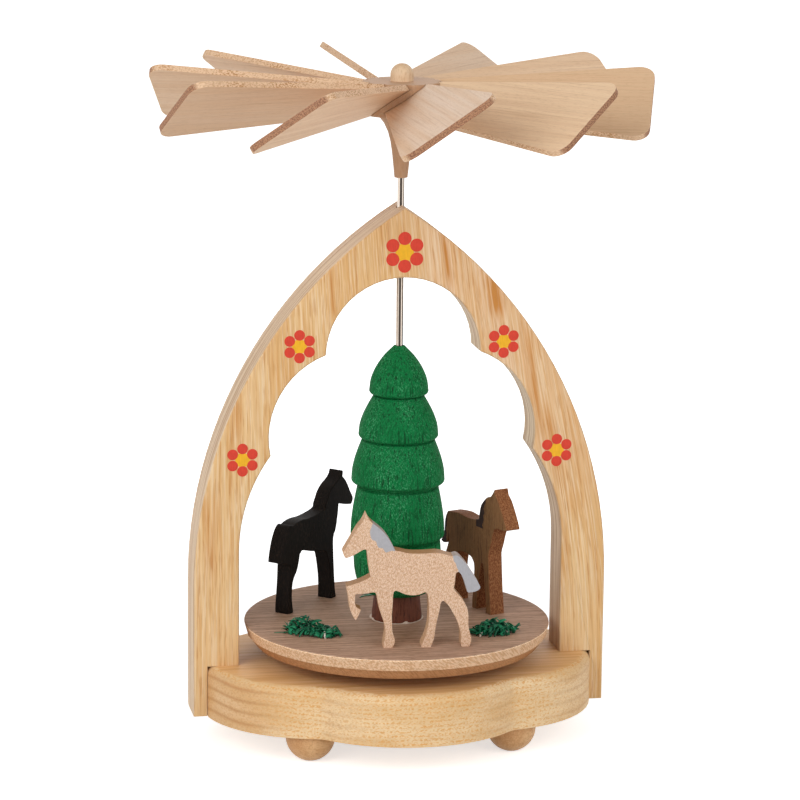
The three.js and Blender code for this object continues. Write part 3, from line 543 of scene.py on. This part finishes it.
def tree_stain():
    """Green stain with upright fibres, pale fuzz, and thin dark checks that run upright."""
    s, colour, normal = stained("tree_stain", "07713a", "043f1e", "5cb680", depth=0.22, seed=12,
                                fuzz_share=0.68, fuzz_rates=(3.6, 3.6, 1.7))
    place = s.local()
    checks = s.flecks(place, (1.5, 1.5, 0.07), 0.65, 0.69, seed=21)
    hairs = s.flecks(place, (3.2, 3.2, 0.3), 0.52, 0.64, seed=23)
    colour = s.mix(s.times(hairs, 0.45), colour, "07401d")
    colour = s.mix(s.times(checks, 0.65), colour, "06260f")
    return s.finish(colour, 0.7, normal, specular=0.1)


def trunk_stain():
    """Dark red-brown stain."""
    s, colour, normal = stained("trunk_stain", "6a3c2b", "391c13", "80503c", seed=3, fuzz_share=0.35)
    return s.finish(colour, 0.5, normal, specular=0.2)


def paint(name, colour):
    """A thin coat of paint in which the upright grain below still shows."""
    s = Shader(name)
    place = s.local()
    grain = s.noise(place, (2.6, 2.6, 0.3), detail=3, seed=2)
    patch = s.noise(place, (0.8, 0.8, 0.8), detail=2, seed=6)
    coat = s.shade(colour, grain, 0.35, s.scaled(patch, 0.2, 0.72))
    return s.finish(coat, 0.5, s.bump(grain, 0.04, 0.5))


def shaft_steel():
    """Drawn wire with fine lines along it, and broad bright and dark bands that are painted reflections."""
    s = Shader("shaft_steel")
    place = s.local()
    x, y, _ = s.separate(place)
    lines = s.noise(place, (2.4, 2.4, 0.004), detail=2, roughness=0.6, seed=5)
    # Broad bright and dark bands across the wire: painted reflections of its surroundings
    reflection_bands = s.wave(s.scaled(y, 0.4, x), 1.15)
    tone = s.step(s.math("ADD", s.times(reflection_bands, 0.6), s.times(lines, 0.4)), 0.3, 0.85)
    # From dark to pale steel: the painted reflections and the fine drawn lines together
    colour = s.mix(tone, "352e29", "cdbfb2")
    return s.finish(colour, 0.3, s.bump(lines, 0.02, 0.4), specular=0.5, metallic=1.0)


def cup_brass():
    """Turned brass with fine level lines."""
    s = Shader("cup_brass")
    lines = s.noise(s.local(), (0.3, 0.3, 6), detail=3, roughness=0.7)
    colour = s.shade("b8944e", lines, 0.7, 0.6)
    return s.finish(colour, s.scaled(lines, 0.2, 0.3), s.bump(lines, 0.01, 0.3), specular=0.5, metallic=1.0)


def shaving_wood():
    """Dyed shavings, each of its own green, with a few that took no dye."""
    s = Shader("shavings")
    own = s.node("ShaderNodeNewGeometry").outputs["Random Per Island"]
    fibres = s.noise(s.local(), (4, 4, 4))
    colour = s.mix(own, "0a4a33", "1c8a5e")
    colour = s.mix(s.math("GREATER_THAN", own, 0.965), colour, "dcd8cc")
    return s.finish(s.shade(colour, fibres, 0.6, 0.7), 0.55, s.bump(fibres, 0.03, 0.6))


def horse_frame(node):
    """Where a horse's rearmost point is, in metres, and its turn in degrees."""
    heading = math.radians(HORSE_HEADINGS[node])
    ahead = np.array([math.cos(heading), math.sin(heading)])
    aside = np.array([-ahead[1], ahead[0]])
    places = vertices_of(node)
    rear = (places[:, :2] @ ahead).min()
    sides = places[:, :2] @ aside
    x, y = ahead * rear + aside * (sides.min() + sides.max()) / 2
    return (x, y, places[:, 2].min()), (0, 0, HORSE_HEADINGS[node])


def light_horse_paint(s, x, z):
    """1 on the light horse's painted mane and tail, and 0 elsewhere. Their edges are a little uneven."""
    jitter = s.noise(s.combine(x, z, 0.0), (0.8, 0.8, 1), detail=1, seed=5)
    rough = s.scaled(jitter, 2.4, -1.2)
    mane_low = s.curve(s.share(x, MANE_BOX["x"], MANE_BOX["long"]), MANE_EDGE_SHARES)
    above = s.math("GREATER_THAN", s.math("ADD", z, s.times(rough, 0.5)),
                   s.scaled(mane_low, MANE_BOX["high"], MANE_BOX["z"]))
    past_poll = s.math("MAXIMUM", s.scaled(z, 1.0, -MANE["poll"]), 0.0)
    leant = s.math("ADD", x, s.times(past_poll, MANE["poll_lean"]))
    mane = s.times(above, s.math("GREATER_THAN", x, MANE["rear"]), s.math("LESS_THAN", leant, MANE["front"]))
    tail_edge = s.curve(s.share(z, TAIL_BOX["z"], TAIL_BOX["high"]), TAIL_EDGE_SHARES)
    behind = s.math("LESS_THAN", s.math("ADD", x, s.times(rough, 0.2)), s.times(tail_edge, TAIL_BOX["long"]))
    tail = s.times(behind, s.math("GREATER_THAN", z, TAIL_BOX["z"]))
    return s.math("MAXIMUM", mane, tail)


def light_horse_wood():
    """Flecked light wood, browner on the sawn edges, with the mane and the tail painted grey.

    Sawn edges that face up are darker still, partly as painted shade.
    """
    origin, turn = horse_frame("horse_light")
    s = Shader("light_horse_wood")
    place = s.local(origin, turn)
    x, _, z = s.separate(place)
    normal = s.separate(s.facing(turn))
    side = s.step(s.math("ABSOLUTE", normal[1]), 0.55, 0.8)
    slanted = s.vector("ADD", place, s.combine(s.times(z, 0.4), 0.0, 0.0))
    flecks = s.flecks(slanted, (3.6, 3.6, 1.5), 0.45, 0.56, seed=31, detail=2)
    fine = s.flecks(place, (3.4, 3.4, 2.2), 0.5, 0.62, seed=33)
    wood = s.mix(s.times(flecks, 0.6), "eaccb1", "c99469")
    wood = s.mix(s.times(fine, 0.4), wood, "b27d54")
    # Sawn edges that face up are darker: partly from the cut, and partly painted shade where less light
    # falls on them
    edge = s.mix(s.step(normal[2], 0.3, 0.8), "dcb48e", "b3885f")
    edge = s.mix(s.times(fine, 0.6), edge, "a0764f")
    wood = s.mix(side, edge, wood)
    painted = s.times(light_horse_paint(s, x, z), s.scaled(side, 0.35, 0.65))
    coat = s.shade("b0afb3", s.noise(s.local(), (2, 2, 0.8)), 0.25, 0.86)
    colour = s.mix(painted, wood, coat)
    fibres = s.noise(place, (2.4, 2.4, 1.6), detail=3, roughness=0.6, seed=35)
    return s.finish(s.shade(colour, fibres, 0.2, 0.9), 0.6, s.bump(fibres, 0.05, 0.5))


def brown_horse_wood():
    """Brown stain, redder and rougher on the sawn edges, with a darker mane and tail."""
    origin, turn = horse_frame("horse_brown")
    s, colour, normal = stained("brown_horse_wood", "8e6644", "63452e", "ae8159", origin, turn, seed=41,
                                fuzz_share=0.4)
    place = s.local(origin, turn)
    x, _, z = s.separate(place)
    side = s.math("ABSOLUTE", s.separate(s.facing(turn))[1])
    speckle = s.flecks(place, (3.4, 3.4, 1.6), 0.42, 0.6, seed=9, detail=2)
    sawn = s.mix(s.times(speckle, 0.7), "79492d", "ac7850")
    colour = s.mix(s.step(side, 0.75, 0.45), colour, sawn)
    uneven = s.math("ADD", x, s.times(s.noise(place, (0.7, 0.7, 0.7), detail=1), 2.0))
    mane = s.times(s.math("LESS_THAN", uneven, s.scaled(z, BROWN_MANE["slope"], BROWN_MANE["front"])),
                   s.math("GREATER_THAN", x, BROWN_MANE["rear"]),
                   s.math("GREATER_THAN", z, BROWN_MANE["low"]))
    tail = s.times(s.math("LESS_THAN", uneven, s.scaled(z, BROWN_TAIL["slope"], BROWN_TAIL["front"])),
                   s.math("GREATER_THAN", z, BROWN_TAIL["low"]))
    colour = s.mix(s.math("MAXIMUM", mane, tail), colour, "3d2b27")
    return s.finish(colour, 0.7, normal, specular=0.1)


def black_horse_wood():
    """Black stain through which a little of the wood still shows."""
    origin, turn = horse_frame("horse_black")
    s, colour, normal = stained("black_horse_wood", "191411", "0e0b09", "3a2f28", origin, turn, depth=0.05,
                                seed=51)
    return s.finish(colour, 0.7, normal, specular=0.1)


def glue_material():
    """Dried glue, shiny and a little cloudy, over the wood of the turntable."""
    s = Shader("glue")
    cloud = s.noise(s.local(), (1.5, 1.5, 1.5), detail=2, seed=3)
    colour = s.mix(cloud, "d8c6b4", "b39a86")
    return s.finish(colour, 0.12, s.bump(cloud, 0.05, 0.4), specular=0.6)


def dress(node, material, bevel=0.0, corner=50):
    """Gives a CAD node its material and smooth shading.

    Edges that turn by more than the corner, in degrees, get a bevel in millimetres, or split without one.
    """
    piece = nodes[node]
    mesh = piece.data
    mesh.materials.clear()
    mesh.materials.append(material)
    for name in ("custom_normal", "sharp_edge", "sharp_face"):
        if name in mesh.attributes:
            mesh.attributes.remove(mesh.attributes[name])
    mesh.shade_smooth()
    weld = piece.modifiers.new("weld", "WELD")
    weld.merge_threshold = WELD_DISTANCE * MM
    if bevel:
        edge = piece.modifiers.new("edge", "BEVEL")
        edge.width = bevel * MM
        edge.segments = BEVEL_SEGMENTS
        edge.limit_method = "ANGLE"
        edge.angle_limit = math.radians(corner)
        edge.use_clamp_overlap = False
    else:
        split = piece.modifiers.new("split", "EDGE_SPLIT")
        split.split_angle = math.radians(corner)
    piece.modifiers.new("normals", "WEIGHTED_NORMAL")


def piece_from(name, places, faces, materials, body, face_materials=None):
    """A smooth piece that rides on a body, from places in metres and faces as lists of their indices."""
    mesh = bpy.data.meshes.new(name)
    mesh.from_pydata([tuple(p) for p in places], [], faces)
    for material in materials:
        mesh.materials.append(material)
    if face_materials is not None:
        mesh.polygons.foreach_set("material_index", face_materials)
    mesh.shade_smooth()
    mesh.validate()
    piece = bpy.data.objects.new(name, mesh)
    bpy.context.scene.collection.objects.link(piece)
    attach(piece, body)
    return piece


def profile_of(node, centre):
    """The turned outline of a CAD node, as radii and heights in metres, and whether it is a loop."""
    micron = 1e6
    places = (vertices_of(node) - (*centre, 0)) * micron
    near = {}
    for polygon in nodes[node].data.polygons:
        corners = []
        for radius, off, height in places[list(polygon.vertices)]:
            flat = abs(off) < PLANE_SLACK and radius > -PLANE_SLACK
            corners.append((round(radius), round(height)) if flat else None)
        for a, b in zip(corners, corners[1:] + corners[:1]):
            if a and b and a != b:
                near.setdefault(a, set()).add(b)
                near.setdefault(b, set()).add(a)
    ends = sorted((p for p in near if len(near[p]) == 1), key=lambda p: p[1])
    start = ends[0] if ends else min(near, key=lambda p: (p[1], p[0]))
    order = [start]
    while True:
        onward = [p for p in near[order[-1]] if p not in order]
        if not onward:
            break
        order.append(max(onward, key=lambda p: (len(order) > 1, p[0])))
    return [np.array(p) / micron for p in order], not ends


def smoothed(points, loop, spacing, corner):
    """Rounds an outline through its points, with its corners and its long straight stretches kept."""
    count = len(points)
    stretches = [(i, (i + 1) % count) for i in range(count if loop else count - 1)]
    lengths = [np.linalg.norm(points[b] - points[a]) for a, b in stretches]
    ways = [(points[b] - points[a]) / length for (a, b), length in zip(stretches, lengths)]

    def way_at_joint(k, other):
        """The way that a stretch takes where it meets the one before or after it."""
        if not loop and not 0 <= other < len(stretches):
            return ways[k]
        other %= len(stretches)
        turn = math.degrees(math.acos(max(-1, min(1, float(ways[k] @ ways[other])))))
        if turn > corner or lengths[k] > LONG_STRETCH * lengths[other]:
            return ways[k]
        if lengths[other] > LONG_STRETCH * lengths[k]:
            return ways[other]
        way = ways[k] * lengths[other] + ways[other] * lengths[k]
        return way / np.linalg.norm(way)

    made = []
    for k, (a, b) in enumerate(stretches):
        start_way = way_at_joint(k, k - 1)
        end_way = way_at_joint(k, k + 1)
        steps = max(1, math.ceil(lengths[k] / spacing))
        for i in range(steps):
            t = i / steps
            made.append(
                (2 * t**3 - 3 * t**2 + 1) * points[a]
                + (t**3 - 2 * t**2 + t) * lengths[k] * start_way
                + (3 * t**2 - 2 * t**3) * points[b]
                + (t**3 - t**2) * lengths[k] * end_way
            )
    if not loop:
        made.append(points[-1])
    return np.clip(made, np.min(points, axis=0), np.max(points, axis=0))


def turned(name, node, material, body, centre=(0, 0), sides=96, spacing=0.6, corner=42, carve=None):
    """A smoother turning of a CAD node from the node's own outline, which it then stands for."""
    points, loop = profile_of(node, centre)
    outline = smoothed(points, loop, spacing * MM, corner)
    count = len(outline)
    turns = np.arange(sides) * 2 * math.pi / sides
    radii = np.repeat(outline[:, :1], sides, axis=1)
    heights = np.repeat(outline[:, 1:], sides, axis=1)
    if carve:
        radii = radii - carve(radii, heights, turns[None, :].repeat(count, axis=0))
    x, y = centre
    places = np.stack([x + radii * np.cos(turns), y + radii * np.sin(turns), heights], axis=-1)
    on_axis = outline[:, 0] < AXIS_SLACK
    faces = []
    for a in range(count if loop else count - 1):
        b = (a + 1) % count
        for k in range(sides):
            n = (k + 1) % sides
            corners = [(a, k), (a, n), (b, n), (b, k)]
            if on_axis[a]:
                corners = [(a, 0), (b, n), (b, k)]
            elif on_axis[b]:
                corners = [(a, k), (a, n), (b, 0)]
            faces.append([row * sides + column for row, column in corners])
    used = sorted({i for face in faces for i in face})
    index = {old: new for new, old in enumerate(used)}
    piece = piece_from(name, places.reshape(-1, 3)[used], [[index[i] for i in face] for face in faces],
                       [material], body)
    split = piece.modifiers.new("split", "EDGE_SPLIT")
    split.split_angle = math.radians(min(SMOOTH_ANGLE, corner))
    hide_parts(node)


def tree_cracks():
    """Fine drying cracks that run up from the lip of each tier."""
    draw = random.Random(5)
    low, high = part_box("tree")
    cracks = []
    for share in TREE_LIP_SHARES:
        lip = low.z + share * (high.z - low.z)
        for _ in range(CRACKS_PER_LIP):
            foot = lip + draw.uniform(*CRACK_START) * MM
            cracks.append((draw.uniform(0, 2 * math.pi), foot, foot + draw.uniform(*CRACK_LENGTH) * MM,
                           draw.uniform(-CRACK_LEAN, CRACK_LEAN), draw.uniform(*CRACK_DEPTH) * MM))

    def carve(radii, heights, turns):
        depth = np.zeros_like(radii)
        for turn, foot, head, lean, deep in cracks:
            share = np.clip((heights - foot) / (head - foot), 0, 1)
            inside = np.sin(share * math.pi) ** 0.5
            sway = turn + lean * share + CRACK_WANDER * np.sin(heights / MM * 1.3 + turn)
            away = np.abs((turns - sway + math.pi) % (2 * math.pi) - math.pi) * radii
            depth += deep * inside * np.exp(-((away / (CRACK_WIDTH * MM)) ** 2))
        outside = radii > TREE_BORE_REACH * MM
        return depth * outside

    return carve


def flowers():
    """Flowers of round paint dots on the front of the arch: six petals about a centre."""
    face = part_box("arch_frame")[0].y
    places, faces, kinds = [], [], []

    def dot(x, z, radius, thickness, kind):
        first = len(places)
        for share, out in DOT_SHARES:
            for k in range(DOT_SIDES):
                turn = 2 * math.pi * k / DOT_SIDES
                places.append(((x + share * radius * math.cos(turn)) * MM, face - out * thickness * MM,
                               (z + share * radius * math.sin(turn)) * MM))
        places.append((x * MM, face - DOT_CROWN_SHARE * thickness * MM, z * MM))
        crown = len(places) - 1
        last = crown - DOT_SIDES
        made = []
        for row in range(first, last, DOT_SIDES):
            for k in range(DOT_SIDES):
                n = (k + 1) % DOT_SIDES
                made.append([row + k, row + n, row + DOT_SIDES + n, row + DOT_SIDES + k])
        for k in range(DOT_SIDES):
            made.append([last + k, last + (k + 1) % DOT_SIDES, crown])
        made.append([first + k for k in reversed(range(DOT_SIDES))])
        faces.extend(made)
        kinds.extend([kind] * len(made))

    for flower in FLOWERS:
        sizes = FLOWER_SIZES[flower["size"]]
        dot(flower["x"], flower["z"], sizes["centre"], CENTRE_THICKNESS, 1)
        for k in range(PETALS):
            turn = math.radians(90 + k * 360 / PETALS)
            dot(flower["x"] + sizes["reach"] * math.cos(turn), flower["z"] + sizes["reach"] * math.sin(turn),
                sizes["petal"], PETAL_THICKNESS, 0)
    materials = [paint("petal_paint", "d6402d"), paint("centre_paint", "f0b424")]
    piece_from("painted_flowers", places, faces, materials, "stand", face_materials=kinds)


def rotated(a, b, angle):
    """Two coordinates turned by an angle in radians."""
    return a * math.cos(angle) - b * math.sin(angle), a * math.sin(angle) + b * math.cos(angle)


def shaving(x, y, z, length, width, spin, tilt, bend, roll):
    """The places of one shaving: a thin strip bent round an arc, four to each step along it."""
    thick = SHAVING_THICKNESS * MM
    places = []
    for i in range(SHAVING_STEPS + 1):
        angle = (i / SHAVING_STEPS - 0.5) * bend
        along = math.sin(angle) / bend * length
        rise = (math.cos(angle) - math.cos(bend / 2)) / bend * length
        taper = 1 - SHAVING_TAPER * abs(2 * i / SHAVING_STEPS - 1) ** 3
        for side, lift in ((-1, 0), (1, 0), (1, 1), (-1, 1)):
            u = along + lift * thick * math.sin(angle)
            w = rise + lift * thick * math.cos(angle)
            v, w = rotated(side * width * taper / 2, w, roll)
            u, w = rotated(u, w, tilt)
            u, v = rotated(u, v, spin)
            places.append((x + u, y + v, z + w))
    return places


def shavings(name, node, count, seed, turn, size, lean, strays):
    """A loose heap of short curled shavings on the turntable, in the place of a CAD tuft."""
    draw = random.Random(seed)
    low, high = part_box(node)
    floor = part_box("turntable")[1].z + TABLE_CLEARANCE * MM
    centre = (low + high) / 2
    long, wide, tall = (v * MM for v in size)
    places, faces = [], []

    def add(made):
        """Adds one shaving, lifted onto the turntable where it would dip into it."""
        first = len(places)
        lift = max(0.0, floor - min(p[2] for p in made))
        places.extend((x, y, z + lift) for x, y, z in made)
        last = first + 4 * SHAVING_STEPS
        for row in range(first, last, 4):
            for k in range(4):
                n = (k + 1) % 4
                faces.append([row + k, row + n, row + 4 + n, row + 4 + k])
        faces.append([first + 3, first + 2, first + 1, first])
        faces.append([last, last + 1, last + 2, last + 3])

    for _ in range(count):
        ring = math.sqrt(draw.random())
        around = draw.uniform(0, 2 * math.pi)
        u, v = ring * math.cos(around), ring * math.sin(around)
        heap = (1 - ring**2) * tall * (1 - lean * u)
        aside, ahead = rotated(u * long / 2, v * wide / 2, math.radians(turn))
        add(shaving(centre.x + aside, centre.y + ahead, floor + heap * draw.uniform(0.05, 1),
                    length=draw.uniform(*SHAVING_LENGTH) * MM, width=draw.uniform(*SHAVING_WIDTH) * MM,
                    spin=draw.uniform(0, 2 * math.pi), tilt=draw.uniform(*SHAVING_TILT),
                    bend=draw.uniform(*SHAVING_BEND), roll=draw.uniform(*SHAVING_TILT)))
    for x, y, spin in strays:
        add(shaving(x * MM, y * MM, floor, STRAY_LENGTH * MM, STRAY_WIDTH * MM, math.radians(spin),
                    tilt=0.0, bend=STRAY_BEND, roll=0.0))
    piece = piece_from(name, places, faces, [shaving_wood()], "carousel")
    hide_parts(node)


def glue_line():
    """Clear glue that stands out round the foot of the trunk, with a few beads in it."""
    low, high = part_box("tree_trunk")
    foot = (high.x - low.x) / 2
    inside = foot - GLUE_DEPTH * MM
    places, faces = [], []
    for k in range(GLUE_SIDES):
        turn = 360 * k / GLUE_SIDES
        swell = 0
        for at, wide, size in GLUE_BEADS:
            away = (turn - at + 180) % 360 - 180
            swell += size * math.exp(-((away / wide) ** 2))
        reach = (GLUE_REACH + swell) * MM
        rise = (GLUE_RISE + BEAD_RISE * swell) * MM
        section = [(inside, low.z)]
        for i in range(GLUE_ROWS + 1):
            angle = math.pi / 2 * i / GLUE_ROWS
            radius = inside + (foot + reach - inside) * math.cos(angle) ** 0.6
            section.append((radius, low.z + rise * math.sin(angle)))
        for radius, height in section:
            x, y = rotated(radius, 0, math.radians(turn))
            places.append((x, y, height + TABLE_CLEARANCE * MM))
    count = GLUE_ROWS + 2
    for k in range(GLUE_SIDES):
        n = (k + 1) % GLUE_SIDES
        for i in range(count):
            j = (i + 1) % count
            faces.append([k * count + i, n * count + i, n * count + j, k * count + j])
    piece_from("trunk_glue", places, faces, [glue_material()], "carousel")


def dress_stand():
    dress("base_plate", base_ash(), bevel=0.12)
    dress("arch_frame", arch_ash(), bevel=0.1)
    dress("bearing_cup", cup_brass(), bevel=0.1)
    flowers()
    for k, name in enumerate(("foot_front_left", "foot_front_right", "foot_back_left", "foot_back_right")):
        low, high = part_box(name)
        turned(f"{name}_ball", name, foot_wood(k + 1), "stand",
               centre=((low.x + high.x) / 2, (low.y + high.y) / 2), sides=64, spacing=0.4)


def dress_carousel():
    dress("shaft", shaft_steel())
    turned("turntable_disc", "turntable", turntable_wood(), "carousel", sides=192,
           spacing=1.5, corner=20)
    turned("trunk_turned", "tree_trunk", trunk_stain(), "carousel")
    turned("tree_turned", "tree", tree_stain(), "carousel", sides=288, spacing=0.5,
           carve=tree_cracks())
    glue_line()
    dress("horse_light", light_horse_wood(), corner=45)
    dress("horse_black", black_horse_wood(), bevel=0.25, corner=45)
    dress("horse_brown", brown_horse_wood(), bevel=0.2, corner=45)
    shavings("shavings_left", "moss_left", **LEFT_TUFT)
    shavings("shavings_right", "moss_right", **RIGHT_TUFT)
    dress("rotor_hub", hub_wood(), bevel=0.1)
    turned("finial_knob", "finial", finial_wood(), "carousel", sides=64, spacing=0.3)
    for i in range(1, BLADE_COUNT + 1):
        places = vertices_of(f"blade_{i:02d}")
        angle = math.degrees(math.atan2(places[:, 1].mean(), places[:, 0].mean()))
        middle = (places[:, 2].min() + places[:, 2].max()) / 2
        dress(f"blade_{i:02d}", blade_wood(i, (0, 0, middle), (BLADE_PITCH, 0, angle)), bevel=0.12)


def away_from(azimuth, elevation):
    """The way out from the object at two angles in degrees, with azimuth 0 towards the front."""
    a, e = math.radians(azimuth), math.radians(elevation)
    return Vector((math.sin(a) * math.cos(e), -math.cos(a) * math.cos(e), math.sin(e)))


def look_at_object():
    back = away_from(CAMERA_AZIMUTH, CAMERA_ELEVATION)
    roll = math.radians(CAMERA_ROLL)
    right = (-back).cross(Vector((0, 0, 1))).normalized()
    up = right.cross(-back)
    across = right * math.cos(roll) + up * math.sin(roll)
    upward = up * math.cos(roll) - right * math.sin(roll)
    data = bpy.data.cameras.new("camera")
    data.sensor_width = SENSOR_WIDTH
    data.lens = FOCAL_PIXELS / FRAME_PIXELS * SENSOR_WIDTH
    data.clip_start, data.clip_end = CAMERA_RANGE
    camera = bpy.data.objects.new("camera", data)
    camera.location = (Vector(CAMERA_TARGET) + back * CAMERA_DISTANCE) * MM
    camera.rotation_euler = Matrix([[across[i], upward[i], back[i]] for i in range(3)]).to_euler()
    bpy.context.scene.collection.objects.link(camera)
    bpy.context.scene.camera = camera


def seen_directly(s):
    """1 for what the camera, a reflection or clear glass sees, and 0 for light on the object."""
    seen = s.node("ShaderNodeLightPath").outputs
    mirrored = s.math("MAXIMUM", seen["Is Camera Ray"], seen["Is Glossy Ray"])
    return s.math("MAXIMUM", mirrored, seen["Is Transmission Ray"])


def studio():
    """Soft light from all sides and from the lamps, with a background that the camera sees as white."""
    s = Shader("studio", bpy.data.worlds)
    bpy.context.scene.world = s.owner
    soft = s.node("ShaderNodeBackground", WHITE, WORLD_LEVEL)
    white = s.node("ShaderNodeBackground", WHITE)
    both = s.node("ShaderNodeMixShader", seen_directly(s), soft.outputs[0], white.outputs[0])
    s.node("ShaderNodeOutputWorld", both.outputs[0])
    for settings in LAMPS:
        lamp(**settings)


def lamp(name, azimuth, elevation, level, size):
    """A square softbox that faces the object. At a level of 1 a white surface before it renders white."""
    data = bpy.data.lights.new(name, "AREA")
    data.size = size
    data.energy = level * math.pi**2 * LAMP_DISTANCE**2
    light = bpy.data.objects.new(name, data)
    back = away_from(azimuth, elevation)
    light.location = back * LAMP_DISTANCE + Vector((0, 0, LAMP_AIM_HEIGHT))
    light.rotation_euler = back.to_track_quat("Z", "Y").to_euler()
    light.visible_camera = False
    bpy.context.scene.collection.objects.link(light)


def floor():
    """A pale floor that is white to the camera except where the object shades it."""
    mesh = bpy.data.meshes.new("floor")
    corners = [(x * FLOOR_REACH, y * FLOOR_REACH, 0) for x, y in ((-1, -1), (1, -1), (1, 1), (-1, 1))]
    mesh.from_pydata(corners, [], [[0, 1, 2, 3]])
    plane = bpy.data.objects.new("floor", mesh)
    plane.location.z = -FLOOR_DROP
    bpy.context.scene.collection.objects.link(plane)
    s = Shader("pale_floor")
    away = s.vector("LENGTH", s.coordinates("Object"))
    glow = s.node("ShaderNodeEmission")
    level = s.step(away, *FLOOR_FADE, FLOOR_NEAR_LEVEL, 1.0)
    s.put(glow.inputs["Strength"], s.times(seen_directly(s), level))
    matt = s.node("ShaderNodeBsdfDiffuse", FLOOR_COLOUR)
    both = s.node("ShaderNodeAddShader", matt.outputs[0], glow.outputs[0])
    s.node("ShaderNodeOutputMaterial", both.outputs[0])
    mesh.materials.append(s.owner)


bpy.context.scene.view_settings.view_transform = "Standard"
look_at_object()
studio()
floor()
dress_stand()
dress_carousel()
